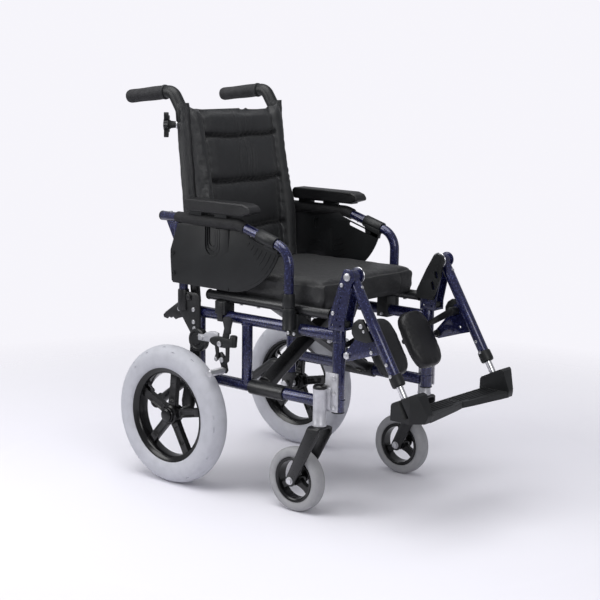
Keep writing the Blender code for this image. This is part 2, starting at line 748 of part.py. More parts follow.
def caster_fork():
    """Two swept flat bars under a crown, with the swivel stem above and the axle bolt below."""
    axle_y = CASTER_Y + CASTER_TRAIL
    inner = CASTER_WIDTH / 2 + FORK_SIDE_GAP
    outer = inner + FORK_BAR
    top = HOUSING_BOTTOM - BEARING_GAP
    half = FORK_BAR_WIDTH / 2
    foot = arc((axle_y, CASTER_R), half * 0.85, -175, 5, 6)
    outline = [(CASTER_Y - half, top), (CASTER_Y - half, top - 0.018)] + foot
    outline += [(CASTER_Y + half + 0.006, top - 0.018), (CASTER_Y + half, top)]
    arms = [plate(outline, CASTER_X + side * (inner + FORK_BAR / 2) - FORK_BAR / 2,
                  CASTER_X + side * (inner + FORK_BAR / 2) + FORK_BAR / 2) for side in (-1, 1)]
    crown = block((CASTER_X - outer + 0.001, CASTER_Y - half, top - FORK_CROWN),
                  (CASTER_X + outer - 0.001, CASTER_Y + half, top))
    stem_top = HOUSING_TOP - HOUSING_ROOF - 2 * BEARING_GAP
    stem = rod((CASTER_X, CASTER_Y, top - FORK_CROWN / 2), (CASTER_X, CASTER_Y, stem_top), FORK_STEM_R)
    axle = rod((CASTER_X - outer - 0.001, axle_y, CASTER_R), (CASTER_X + outer + 0.001, axle_y, CASTER_R),
               CASTER_AXLE_R, PIN_SIDES)
    nuts = [rod((CASTER_X + side * (outer - 0.001), axle_y, CASTER_R),
                (CASTER_X + side * (outer + 0.005), axle_y, CASTER_R), CASTER_NUT_R, 6) for side in (-1, 1)]
    return union(crown, *arms, stem, axle, *nuts)


def caster_tyre():
    profile = tyre_profile(CASTER_R, CASTER_HUB_R + FIT, CASTER_WIDTH, 0.75, 6)
    return turned(profile, across(CASTER_X, CASTER_Y + CASTER_TRAIL, CASTER_R), CASTER_STEPS, closed=True)


def caster_hub():
    place = Matrix.Translation((CASTER_X, CASTER_Y + CASTER_TRAIL, CASTER_R))
    centre = across(CASTER_X, CASTER_Y + CASTER_TRAIL, CASTER_R)
    half = CASTER_WIDTH * 0.42
    inner = CASTER_HUB_R - CASTER_RING
    ring = turned([(CASTER_HUB_R, half), (CASTER_HUB_R, -half), (inner, -half), (inner, half)],
                  centre, CASTER_STEPS, closed=True)
    hub_half = CASTER_WIDTH / 2 + FORK_SIDE_GAP - BEARING_GAP
    hub = turned([(0.0, hub_half), (0.010, hub_half), (0.013, half), (0.013, -half), (0.010, -hub_half),
                  (0.0, -hub_half)], centre, TUBE_SIDES)
    spokes = []
    for index in range(3):
        spoke = block((-0.006, -0.009, 0.006), (0.006, 0.009, CASTER_HUB_R - CASTER_RING / 2))
        turn = Matrix.Rotation(math.tau * index / 3, 4, "X")
        spokes.append(bake(spoke, place @ turn))
    wheel = union(ring, *spokes)
    wheel = union(wheel, hub)
    far = hub_half + 0.01
    axle_y = CASTER_Y + CASTER_TRAIL
    bore = hole((CASTER_X - far, axle_y, CASTER_R), (CASTER_X + far, axle_y, CASTER_R),
               CASTER_AXLE_R + BEARING_GAP, PIN_SIDES)
    return cut(wheel, bore)


# Backrest

def cane_y(z):
    """Where the leaning cane's axis is at a height."""
    return RECLINE_Y + math.tan(CANE_TILT) * (z - RECLINE_Z)


def grip_z(y):
    return GRIP_AXIS_Z + math.tan(GRIP_SLOPE) * (y - GRIP_Y)


def back_cane():
    """The leaning back post with its handle bend, pivot bolt and the hole for the clamp knob."""
    corner_y = cane_y(GRIP_AXIS_Z)
    foot_z = RECLINE_Z - CANE_FOOT * math.cos(CANE_TILT)
    end_y = GRIP_END_Y - GRIP_END_WALL - FIT
    route = rounded_route([(CANE_X, cane_y(foot_z), foot_z), (CANE_X, corner_y, grip_z(corner_y)),
                           (CANE_X, end_y, grip_z(end_y))], CANE_BEND_R, 6)
    cane = tube(route, CANE_R)
    plate_inner = SIDE_X + TUBE_R + FIT
    plate_outer = plate_inner + BRACKET_PLATE
    head_inner = plate_outer + FIT
    spacer = rod((CANE_X, RECLINE_Y, RECLINE_Z), (plate_inner - FIT, RECLINE_Y, RECLINE_Z),
                 PIVOT_HEAD_R, PIN_SIDES)
    bolt = rod((CANE_X, RECLINE_Y, RECLINE_Z), (head_inner + PIVOT_HEAD / 2, RECLINE_Y, RECLINE_Z),
               PIVOT_BOLT_R, PIN_SIDES)
    head = rod((head_inner, RECLINE_Y, RECLINE_Z), (head_inner + PIVOT_HEAD, RECLINE_Y, RECLINE_Z),
               PIVOT_HEAD_R, 6)
    cane = union(cane, spacer, bolt, head)
    centre = Vector((CANE_X, cane_y(KNOB_Z), KNOB_Z))
    stud_hole = hole(centre, centre + knob_axis() * CANE_R * 3, KNOB_STUD_R + FIT, PIN_SIDES)
    return cut(cane, stud_hole)


def push_grip():
    start = Vector((CANE_X, GRIP_Y, grip_z(GRIP_Y)))
    end = Vector((CANE_X, GRIP_END_Y, grip_z(GRIP_END_Y)))
    length = (end - start).length
    bore = (CANE_R + FIT) / math.cos(math.pi / (TUBE_SIDES + 2))
    profile = [
        (0.0, length), (GRIP_R * 0.6, length), (GRIP_R * 0.93, length - 0.004), (GRIP_R, length - 0.010),
        (GRIP_R, 0.012), (GRIP_R - 0.001, 0.009), (GRIP_R + 0.0005, 0.006), (GRIP_R, 0.0), (bore, 0.0),
        (bore, length - GRIP_END_WALL), (0.0, length - GRIP_END_WALL)]
    return turned(profile, aim(start, end), TUBE_SIDES + 2)


def knob_axis():
    """The direction the knob's stud points in, rearwards and outwards."""
    return Vector((math.sin(KNOB_TURN), math.cos(KNOB_TURN), 0.0))


def back_knob():
    """A star knob on its stud, behind the cane."""
    centre = Vector((CANE_X, cane_y(KNOB_Z), KNOB_Z))
    away = knob_axis()
    face = CANE_R + KNOB_STANDOFF
    outline = []
    steps = KNOB_LOBES * 6
    for step in range(steps):
        angle = math.tau * step / steps
        reach = KNOB_R * (0.84 + 0.16 * math.cos(KNOB_LOBES * angle))
        outline.append((reach * math.cos(angle), reach * math.sin(angle)))
    star = sheet(outline, KNOB_THICKNESS, aim(centre + away * (face + KNOB_THICKNESS / 2), centre + away))
    stud = rod(centre + away * 0.004, centre + away * (face + 0.004), KNOB_STUD_R, PIN_SIDES)
    neck = rod(centre + away * (face - 0.010), centre + away * (face + 0.002), KNOB_NECK_R, PIN_SIDES)
    return union(star, neck, stud)


def seam_dip(height):
    """How far a sewn seam draws the back panel in at a height, as a share of its depth."""
    return max(math.exp(-((height - seam) / 0.0086) ** 2) for seam in BACK_SEAMS)


def back_ring(height):
    """One level of the back cushion: a flat rear, and a front with bolsters and a panel."""
    share = height / BACK_TALL
    thinning = min(1.0, max(0.0, (share - 0.40) / 0.60))
    half = CANE_X + BACK_OVERHANG + BACK_TOP_FLARE * thinning
    end = min(1.0, min(height, BACK_TALL - height) / 0.020)
    fill = 0.45 + 0.55 * math.sqrt(max(0.0, end))
    rear = CANE_R + FIT
    bolster = (BACK_BOLSTER + (BACK_TOP_BOLSTER - BACK_BOLSTER) * thinning) * fill
    panel = min(BACK_PANEL * fill, bolster * 0.72) - BACK_SEAM_DEPTH * seam_dip(height) * fill
    inner = half - BACK_BOLSTER_WIDTH
    profile = [(half - 0.004, 0.002), (half, bolster * 0.38), (half - 0.004, bolster * 0.78),
               (half - 0.017, bolster), (half - 0.034, bolster * 0.95),
               (inner, bolster * 0.78), (inner - 0.006, min(panel, bolster * 0.62) * 0.92),
               (inner * 0.62, panel * 1.04), (0.0, panel * 1.08)]
    front = profile + [(-x, depth) for x, depth in reversed(profile[:-1])]
    back = [(-half + 0.012, 0.0), (-half * 0.4, 0.0), (half * 0.4, 0.0), (half - 0.012, 0.0)]
    up = Vector((0.0, math.sin(CANE_TILT), math.cos(CANE_TILT)))
    ahead = Vector((0.0, -math.cos(CANE_TILT), math.sin(CANE_TILT)))
    foot = Vector((0.0, RECLINE_Y, RECLINE_Z)) + up * BACK_LOW
    ring = []
    for x, depth in front + back:
        sag = BACK_TOP_SAG * share ** 3 * (1 - (x / half) ** 2)
        ring.append(foot + up * (height - sag) + ahead * (rear + depth) + Vector((x, 0.0, 0.0)))
    return ring


def back_upholstery():
    heights = [0.0, 0.005, 0.018, 0.060]
    for seam in BACK_SEAMS:
        heights += [seam - 0.018, seam - 0.008, seam, seam + 0.008, seam + 0.018]
    heights += [(low + high) / 2 for low, high in zip(BACK_SEAMS, BACK_SEAMS[1:])]
    heights += [BACK_TALL - 0.036, BACK_TALL - 0.018, BACK_TALL - 0.005, BACK_TALL]
    return loft([back_ring(height) for height in sorted(heights)])


# Seat cushion

def seat_ring(y):
    """One slice across the cushion: flat below, crowned above, with drawn-in sides."""
    long = SEAT_REAR_Y - SEAT_FRONT_Y
    edge = min(1.0, min(y - SEAT_FRONT_Y, SEAT_REAR_Y - y) / 0.030)
    round_off = math.sqrt(max(0.0, 1 - (1 - edge) ** 2))
    middle = math.sin(math.pi * (y - SEAT_FRONT_Y) / long)
    forward = (SEAT_REAR_Y - y) / long
    half = SEAT_HALF_WIDTH + SEAT_FLARE * forward
    half -= 0.010 * (1 - round_off) + SEAT_DRAW_IN * middle * 0.6
    bottom = RAIL_Z + RAIL_R + FIT
    tall = SEAT_THICKNESS * (0.55 + 0.45 * round_off)
    low = bottom + (SEAT_THICKNESS - tall) * 0.35
    points = []
    flank = ((0.965, 0.0), (0.99, 0.12), (1.0, 0.34), (0.990, 0.55), (1.0, 0.78), (0.965, 0.95), (0.88, 1.01))
    for x, z in flank:
        points.append((x * half, low + z * tall))
    for x in (0.66, 0.33, 0.0):
        crown = SEAT_CROWN * (1 - x * x) * middle
        points.append((x * half, low + 1.02 * tall + crown))
    left = [(-x, z) for x, z in reversed(points[:-1])]
    floor = [(-0.45 * half, low), (0.45 * half, low)]
    return [Vector((x, y, z)) for x, z in points + left + floor]


def seat_cushion():
    long = SEAT_REAR_Y - SEAT_FRONT_Y
    shares = (0.0, 0.012, 0.035, 0.065, 0.10, 0.20, 0.35, 0.50, 0.65, 0.80, 0.90, 0.935, 0.965, 0.988, 1.0)
    return loft([seat_ring(SEAT_FRONT_Y + share * long) for share in shares])


# Cross brace

def brace(front):
    """One leg of the scissor with its hinge sleeve below and its seat rail above.

    It is drawn from the left lower tube up to the right seat rail.
    """
    half = BRACE_WIDTH / 2
    shift = (half + BRACE_GAP / 2) * (-1 if front else 1)
    y = BRACE_Y + shift
    foot = Vector((SIDE_X, y, LOWER_Z))
    head = Vector((-SIDE_X, y, RAIL_Z))
    length = (head - foot).length
    bar = block((-half, -BRACE_THICKNESS / 2, 0.0), (half, BRACE_THICKNESS / 2, length), 0.004)
    bar = bake(bar, aim(foot, head))
    sleeve_r = TUBE_R + BEARING_GAP + SLEEVE_WALL
    sleeve_half = SLEEVE_LENGTH / 2
    sleeve = rod((SIDE_X, BRACE_Y - sleeve_half, LOWER_Z), (SIDE_X, BRACE_Y + sleeve_half, LOWER_Z),
                 sleeve_r, TUBE_SIDES + 2)
    rail = rod((-SIDE_X, RAIL_FRONT_Y, RAIL_Z), (-SIDE_X, RAIL_REAR_Y, RAIL_Z), RAIL_R, TUBE_SIDES + 2)
    body = union(bar, sleeve, rail)
    tube_hole = hole((SIDE_X, BRACE_Y - SLEEVE_LENGTH, LOWER_Z), (SIDE_X, BRACE_Y + SLEEVE_LENGTH, LOWER_Z),
                     TUBE_R + BEARING_GAP, TUBE_SIDES + 2)
    return cut(body, tube_hole)


def brace_centre_z():
    return (LOWER_Z + RAIL_Z) / 2


def left_brace():
    """The front leg, which holds the centre bolt."""
    z = brace_centre_z()
    front = BRACE_Y - BRACE_WIDTH - BRACE_GAP / 2
    rear = BRACE_Y + BRACE_WIDTH + BRACE_GAP / 2
    bolt = rod((0.0, front - BRACE_BOLT_HEAD / 2, z), (0.0, rear + FIT + BRACE_BOLT_HEAD / 2, z),
               BRACE_BOLT_R, PIN_SIDES)
    nut = rod((0.0, rear + FIT, z), (0.0, rear + FIT + BRACE_BOLT_HEAD, z), BRACE_BOLT_HEAD_R, 6)
    head = rod((0.0, front - BRACE_BOLT_HEAD, z), (0.0, front + 0.001, z), BRACE_BOLT_HEAD_R, 6)
    return union(brace(True), bolt, head, nut)


def right_brace():
    """The rear leg, drawn like the front one and turned to the other side."""
    z = brace_centre_z()
    bolt_hole = hole((0.0, BRACE_Y - 0.01, z), (0.0, BRACE_Y + BRACE_WIDTH + 0.02, z),
                     BRACE_BOLT_R + BEARING_GAP, PIN_SIDES)
    leg = cut(brace(False), bolt_hole)
    turned_over = mirrored(leg)
    bpy.data.objects.remove(leg, do_unlink=True)
    return turned_over


# Armrest

def armrest_frame():
    """The bent arm tube with its rear post and the gusset under its rear end."""
    corners = [(ARM_X, ARM_REAR_TIP_Y, ARM_TOP_Z), (ARM_X, ARM_SLOPE_Y, ARM_TOP_Z),
               (ARM_X, ARM_FRONT_POST_Y, ARM_FRONT_CORNER_Z), (ARM_X, ARM_FRONT_POST_Y, ARM_POST_BOTTOM)]
    loop = tube(rounded_route(corners, ARM_BEND_R), ARM_TUBE_R)
    post = rod((ARM_X, ARM_REAR_POST_Y, ARM_POST_BOTTOM), (ARM_X, ARM_REAR_POST_Y, ARM_TOP_Z),
               ARM_TUBE_R - 0.0004)
    low = ARM_TOP_Z - ARM_TUBE_R / 2
    gusset = plate([(ARM_REAR_POST_Y, low), (ARM_REAR_POST_Y, low - GUSSET_DROP),
                    (ARM_REAR_POST_Y + 0.012, low - GUSSET_DROP), (ARM_REAR_POST_Y + GUSSET_REACH, low)],
                   ARM_X - GUSSET / 2, ARM_X + GUSSET / 2)
    return union(loop, post, gusset)


def side_panel():
    outer = ARM_X - ARM_TUBE_R - FIT
    inner = outer - PANEL_THICKNESS
    centre = (PANEL_CORNER_Y, PANEL_BOTTOM_Z + PANEL_ARC_R)
    outline = [(PANEL_REAR_Y - PANEL_TOP_INSET, PANEL_TOP_Z),
               (PANEL_REAR_Y - PANEL_TOP_INSET + 0.002, PANEL_TOP_Z - PANEL_SHOULDER_DROP),
               (PANEL_REAR_Y, PANEL_TOP_Z - PANEL_SLANT_DROP), (PANEL_REAR_Y, PANEL_TOP_Z - PANEL_WAIST_DROP),
               (PANEL_REAR_Y - PANEL_FOOT_INSET, PANEL_BOTTOM_Z)]
    outline += arc(centre, PANEL_ARC_R, 270, 196, 12)
    outline += [(ARM_SLOPE_Y, PANEL_TOP_Z)]
    return plate(outline[::-1], inner, outer)


def armrest_pad():
    """A pad on two feet that stand on the arm tube, with a flat top between rounded edges."""
    low = (ARM_X - PAD_INSET, PAD_FRONT_Y, PAD_BOTTOM_Z)
    high = (ARM_X - PAD_INSET + PAD_WIDTH, PAD_REAR_Y, PAD_BOTTOM_Z + PAD_THICKNESS)
    pad = block(low, high)
    rounding = pad.modifiers.new("Rounding", "BEVEL")
    rounding.width = PAD_ROUNDING
    rounding.segments = 3
    pad = bake(pad)
    feet = [block((ARM_X - 0.008, y - PAD_FOOT_LENGTH / 2, ARM_TOP_Z + ARM_TUBE_R + FIT),
                  (ARM_X + 0.010, y + PAD_FOOT_LENGTH / 2, PAD_BOTTOM_Z + 0.004), 0.001) for y in PAD_FOOT_YS]
    return union(pad, *feet)


# Wheel lock

def oval(centre, long, tall, steps=16):
    points = []
    for step in range(steps):
        angle = math.tau * step / steps
        points.append((centre[0] + long / 2 * math.cos(angle), centre[1] + tall / 2 * math.sin(angle)))
    return points


def lock_inner_x():
    return SIDE_X + TUBE_R + FIT + BRACKET_PLATE + BOSS_PROUD + FIT


def wheel_lock_body():
    """The mounting bar with its oval housing and the tab that carries the brake arm."""
    inner = lock_inner_x()
    outer = inner + LOCK_BAR_THICKNESS
    half = LOCK_BAR_TALL / 2
    bar = plate([(LOCK_BAR_REAR_Y, LOCK_BAR_Z - half), (LOCK_BAR_REAR_Y, LOCK_BAR_Z + half),
                 (LOCK_BAR_FRONT_Y, LOCK_BAR_Z + half), (LOCK_BAR_FRONT_Y, LOCK_BAR_Z - half)], inner, outer)
    housing = plate(oval((LOCK_BODY_Y, LOCK_BODY_Z), LOCK_BODY_LONG, LOCK_BODY_TALL),
                    outer - 0.001, outer + LOCK_BODY_THICKNESS)
    tab = plate([(LOCK_ARM_Y + 0.028, LOCK_BODY_Z), (LOCK_ARM_Y + 0.022, LOCK_ARM_Z + 0.002),
                 (LOCK_ARM_Y + 0.004, LOCK_ARM_Z - 0.007), (LOCK_ARM_Y - 0.007, LOCK_ARM_Z - 0.006),
                 (LOCK_ARM_Y - 0.012, LOCK_ARM_Z + 0.004), (LOCK_ARM_Y - 0.016, LOCK_BODY_Z)],
                outer + FIT, outer + FIT + LOCK_TAB)
    body = union(bar, housing, tab)
    lever_hole = hole((inner - 0.01, LOCK_BODY_Y, LOCK_BODY_Z), (outer + 0.03, LOCK_BODY_Y, LOCK_BODY_Z),
                     LOCK_PIN_R + FIT, PIN_SIDES)
    arm_hole = hole((inner - 0.01, LOCK_ARM_Y, LOCK_ARM_Z), (outer + 0.03, LOCK_ARM_Y, LOCK_ARM_Z),
                   LOCK_PIN_R + FIT, PIN_SIDES)
    return cut(body, lever_hole, arm_hole)


def lock_pin(inner, face, y, z):
    """A pin through the bar and its head on the outer face."""
    pin = rod((inner + 0.001, y, z), (face + 0.002, y, z), LOCK_PIN_R, PIN_SIDES)
    head = rod((face, y, z), (face + LOCK_PIN_HEAD, y, z), LOCK_PIN_HEAD_R, PIN_SIDES)
    return pin, head


def wheel_lock_lever():
    """The hand lever: a neck on the inner side of the bar, a pin through it and a thick grip."""
    outer = lock_inner_x() - FIT
    inner = outer - LOCK_NECK
    eye = arc((LOCK_BODY_Y, LOCK_BODY_Z), LOCK_EYE_R, 180, 360, 6)
    neck_top = LOCK_BODY_Z + LOCK_NECK_RISE
    neck = plate(eye + [(LOCK_BODY_Y + 0.006, neck_top), (LOCK_BODY_Y - 0.006, neck_top)], inner, outer)
    grip_low = LOCK_BODY_Z + LOCK_GRIP_START
    grip_top = LOCK_BODY_Z + LOCK_GRIP_TOP
    half_outline = [(LOCK_GRIP_HALF * 2 / 3, grip_low), (LOCK_GRIP_HALF, grip_top - LOCK_GRIP_HALF / 2),
                    (LOCK_GRIP_HALF / 2, grip_top)]
    outline = [(LOCK_BODY_Y + y, z) for y, z in half_outline]
    outline += [(LOCK_BODY_Y - y, z) for y, z in reversed(half_outline)]
    grip = plate(outline, inner - 0.003, outer + 0.003)
    face = outer + FIT + LOCK_BAR_THICKNESS + LOCK_BODY_THICKNESS + FIT
    return union(neck, grip, *lock_pin(inner, face, LOCK_BODY_Y, LOCK_BODY_Z))


def wheel_lock_arm():
    """The short brake arm and the stub that presses on the tread."""
    outer = lock_inner_x() + LOCK_BAR_THICKNESS
    inner = outer - LOCK_NECK
    half = LOCK_STUB_R + LOCK_ARM_MARGIN
    outline = [(LOCK_ARM_Y + half, LOCK_ARM_Z + half), (LOCK_ARM_Y - half, LOCK_ARM_Z + half),
               (LOCK_STUB_Y - half, LOCK_STUB_Z), (LOCK_STUB_Y - half / 2, LOCK_STUB_Z - half),
               (LOCK_STUB_Y + half / 2, LOCK_STUB_Z - half), (LOCK_STUB_Y + half, LOCK_STUB_Z)]
    arm = plate(outline, inner, outer)
    stub_end = REAR_WHEEL_X + REAR_TYRE_WIDTH / 2 - LOCK_STUB_INSET
    stub = rod((inner + 0.001, LOCK_STUB_Y, LOCK_STUB_Z), (stub_end, LOCK_STUB_Y, LOCK_STUB_Z), LOCK_STUB_R)
    face = outer + FIT + LOCK_TAB + FIT
    return union(arm, stub, *lock_pin(inner, face, LOCK_ARM_Y, LOCK_ARM_Z))


# Legrest

def legrest_hanger():
    """A channel of two side plates on a base, with the swing pin below and the knee bolt above."""
    base_z = UPPER_Z + FRONT_POST_RISE + BEARING_GAP
    rear = FRONT_POST_Y + FRONT_POST_R + 0.001
    front = FRONT_POST_Y - 0.027
    outline = [(rear, base_z), (rear, base_z + 0.020), (rear - 0.024, KNEE_Z - 0.022)]
    outline += arc((KNEE_Y, KNEE_Z), KNEE_DISC_R, 50, 235, 9)
    outline += [(front, base_z + 0.020), (front, base_z)]
    eye_half = LEG_TUBE_R + KNEE_WASHER
    inner = (LEG_X - eye_half - FIT - HANGER_PLATE, LEG_X - eye_half - FIT)
    outer = (LEG_X + eye_half + FIT, LEG_X + eye_half + FIT + HANGER_PLATE)
    inner_plate = plate(outline[::-1], *inner)
    outer_plate = plate(outline[::-1], *outer)
    base = block((inner[0] + 0.001, front + 0.001, base_z),
                 (outer[1] - 0.001, rear - 0.001, base_z + HANGER_BASE))
    pin = rod((SIDE_X, FRONT_POST_Y, base_z - HANGER_PIN_LENGTH + BEARING_GAP),
              (SIDE_X, FRONT_POST_Y, base_z + HANGER_BASE / 2), HANGER_PIN_R)
    bolt = rod((inner[0] + 0.001, KNEE_Y, KNEE_Z), (outer[1] + 0.002, KNEE_Y, KNEE_Z), KNEE_BOLT_R, PIN_SIDES)
    head = rod((outer[1] - 0.0005, KNEE_Y, KNEE_Z), (outer[1] + KNEE_HEAD, KNEE_Y, KNEE_Z),
               KNEE_HEAD_R, PIN_SIDES)
    return union(base, inner_plate, outer_plate, pin, bolt, head)


def knee_guard():
    """The black guard on the inner plate of the hanger."""
    eye_half = LEG_TUBE_R + KNEE_WASHER
    outer = LEG_X - eye_half - FIT - HANGER_PLATE - FIT
    low = KNEE_Z - GUARD_DROP
    outline = [(FRONT_POST_Y + GUARD_REAR, low), (FRONT_POST_Y + GUARD_REAR - 0.001, low + 0.018),
               (FRONT_POST_Y - 0.002, KNEE_Z - GUARD_TOP_R - 0.007)]
    outline += arc((KNEE_Y, KNEE_Z), GUARD_TOP_R, 35, 200, 8)
    outline += [(KNEE_Y - 0.007, KNEE_Z - GUARD_TOP_R - 0.025), (FRONT_POST_Y - GUARD_FRONT, low - 0.001)]
    return plate(outline[::-1], outer - GUARD_THICKNESS, outer)


def legrest_tube():
    """The leg tube with its knee eye, the end collar and the web that carries the calf pad."""
    start = leg_point(0.0)
    end = leg_point(LEG_TUBE_LENGTH)
    eye_half = LEG_TUBE_R + KNEE_WASHER
    bar = rod(start, end, LEG_TUBE_R, TUBE_SIDES + 2)
    collar = rod(leg_point(LEG_TUBE_LENGTH - COLLAR_LENGTH), leg_point(LEG_TUBE_LENGTH + COLLAR_LIP),
                 COLLAR_R, TUBE_SIDES + 2, COLLAR_R - 0.002)
    eye = rod((LEG_X - eye_half, KNEE_Y, KNEE_Z), (LEG_X + eye_half, KNEE_Y, KNEE_Z), KNEE_EYE_R,
              TUBE_SIDES + 2)
    corners = [(WEB_TOP, 0.0), (WEB_TOP + 0.004, -0.028), (WEB_TOP + 0.022, -0.063),
               (CALF_ROD_ALONG - 0.008, CALF_ROD_AHEAD - 0.006),
               (CALF_ROD_ALONG + 0.003, CALF_ROD_AHEAD - 0.010),
               (CALF_ROD_ALONG + 0.012, CALF_ROD_AHEAD - 0.001), (WEB_BOTTOM, -0.012), (WEB_BOTTOM, 0.0)]
    outline = [tuple(leg_point(along, ahead))[1:] for along, ahead in corners]
    web = plate(outline, LEG_X - WEB_THICKNESS / 2, LEG_X + WEB_THICKNESS / 2)
    leg = union(bar, collar, eye, web)
    knee_hole = hole((LEG_X - 0.05, KNEE_Y, KNEE_Z), (LEG_X + 0.05, KNEE_Y, KNEE_Z), KNEE_BOLT_R + FIT,
                     PIN_SIDES)
    bore = hole(leg_point(LEG_TUBE_LENGTH - STEM_INSERTION - 0.001), leg_point(LEG_TUBE_LENGTH + 0.02),
                STEM_R + FIT)
    rod_hole = hole(leg_point(CALF_ROD_ALONG, CALF_ROD_AHEAD, LEG_X - 0.02),
                    leg_point(CALF_ROD_ALONG, CALF_ROD_AHEAD, LEG_X + 0.02), CALF_ARM_R + FIT, PIN_SIDES)
    lever_hole = hole(leg_point(LEVER_ALONG, LEVER_AHEAD, LEG_X - 0.02),
                      leg_point(LEVER_ALONG, LEVER_AHEAD, LEG_X + 0.02), LOCK_PIN_R + FIT, PIN_SIDES)
    return cut(leg, knee_hole, bore, rod_hole, lever_hole)


def across_rod(along, ahead, inner_x, outer_x, radius):
    """A round bar along x through a point of the legrest."""
    return rod(leg_point(along, ahead, inner_x), leg_point(along, ahead, outer_x), radius, PIN_SIDES)


def legrest_lever():
    """The release lever: a hub on the web and an arm that runs back past the front post."""
    face = LEG_X - WEB_THICKNESS / 2 - FIT
    arm_outer = SIDE_X - FRONT_POST_R - 0.004
    arm_inner = arm_outer - LEVER_THICKNESS
    far_face = face + FIT + WEB_THICKNESS + FIT
    hub = across_rod(LEVER_ALONG, LEVER_AHEAD, arm_inner, face, LEVER_HUB_R)
    pin = across_rod(LEVER_ALONG, LEVER_AHEAD, arm_inner + 0.001, far_face + 0.002, LOCK_PIN_R)
    head = across_rod(LEVER_ALONG, LEVER_AHEAD, far_face, far_face + LOCK_PIN_HEAD, LOCK_PIN_HEAD_R)
    tip = LEVER_AHEAD - LEVER_REACH
    corners = [(LEVER_ALONG - 0.008, LEVER_AHEAD + 0.006), (LEVER_ALONG + 0.008, LEVER_AHEAD + 0.006),
               (LEVER_ALONG + 0.006, tip), (LEVER_ALONG - 0.004, tip)]
    outline = [tuple(leg_point(along, ahead))[1:] for along, ahead in corners]
    arm = plate(outline, arm_inner, arm_outer)
    return union(hub, arm, pin, head)


def superellipse(width, tall, power, steps):
    points = []
    for step in range(steps):
        angle = math.tau * step / steps
        wide = math.copysign(abs(math.cos(angle)) ** power, math.cos(angle)) * width / 2
        high = math.copysign(abs(math.sin(angle)) ** power, math.sin(angle)) * tall / 2
        points.append((wide, high))
    return points


def calf_pad():
    """A thick oval pad: flat behind, full at its edge and crowned in front."""
    outline = superellipse(CALF_WIDTH, CALF_TALL, 0.62, 20)
    levels = [(0.80, 0.0), (0.92, 0.06), (0.985, 0.22), (1.0, 0.42), (0.985, 0.62), (0.93, 0.80),
              (0.82, 0.92), (0.60, 0.985), (0.30, 1.0)]
    rings = []
    for scale, depth in levels:
        ahead = CALF_AHEAD - CALF_THICKNESS / 2 + depth * CALF_THICKNESS
        inset = (1.0 - scale) * CALF_WIDTH / 2
        ring = []
        for wide, high in outline:
            narrow = wide * (1 - 2 * inset / CALF_WIDTH)
            low = high * (1 - 2 * inset / CALF_TALL)
            ring.append(leg_point(CALF_ALONG - low, ahead, CALF_X + narrow))
        rings.append(ring)
    return loft(rings)


def calf_bracket():
    """The rod through the web with the plate that the calf pad is screwed to."""
    outer = LEG_X + WEB_THICKNESS / 2 + FIT
    bar = across_rod(CALF_ROD_ALONG, CALF_ROD_AHEAD, CALF_X - 0.030, outer + 0.003, CALF_ARM_R)
    collar = across_rod(CALF_ROD_ALONG, CALF_ROD_AHEAD, LEG_X - WEB_THICKNESS / 2 - FIT - 0.006,
                        LEG_X - WEB_THICKNESS / 2 - FIT, CALF_ARM_R + 0.0025)
    head = across_rod(CALF_ROD_ALONG, CALF_ROD_AHEAD, outer, outer + 0.004, CALF_ARM_R + 0.0025)
    back = CALF_AHEAD - CALF_THICKNESS / 2 - FIT
    backing = block((CALF_X - 0.026, -0.034, 0.0), (CALF_X + 0.026, 0.034, CALF_PLATE), 0.0008)
    place = leg_point(CALF_ALONG, back - CALF_PLATE, 0.0)
    ahead = leg_point(0.0, 1.0) - leg_point(0.0, 0.0)
    backing = bake(backing, aim(place, place + ahead))
    return union(bar, collar, head, backing)


def stem_end():
    return LEG_TUBE_LENGTH + STEM_LENGTH


def footrest_stem():
    """The plated stem that slides in the leg tube, with the hinge pin of the footplate."""
    stem = rod(leg_point(LEG_TUBE_LENGTH - STEM_INSERTION), leg_point(stem_end() + FOOT_STEM_HEEL), STEM_R)
    pin = rod(leg_point(stem_end(), -FOOT_PIN_REACH), leg_point(stem_end(), FOOT_PIN_REACH), FOOT_PIN_R,
              PIN_SIDES)
    return union(stem, pin)


def foot_frame():
    """Local x stays sideways, y runs to the heel and z up along the stem, from the stem's end."""
    origin = leg_point(stem_end(), 0.0, 0.0)
    heel = leg_point(stem_end(), -1.0, 0.0) - origin
    up = leg_point(stem_end() - 1.0, 0.0, 0.0) - origin
    turn = Matrix((Vector((1.0, 0.0, 0.0)), heel, up)).transposed().to_4x4()
    return Matrix.Translation(origin) @ turn


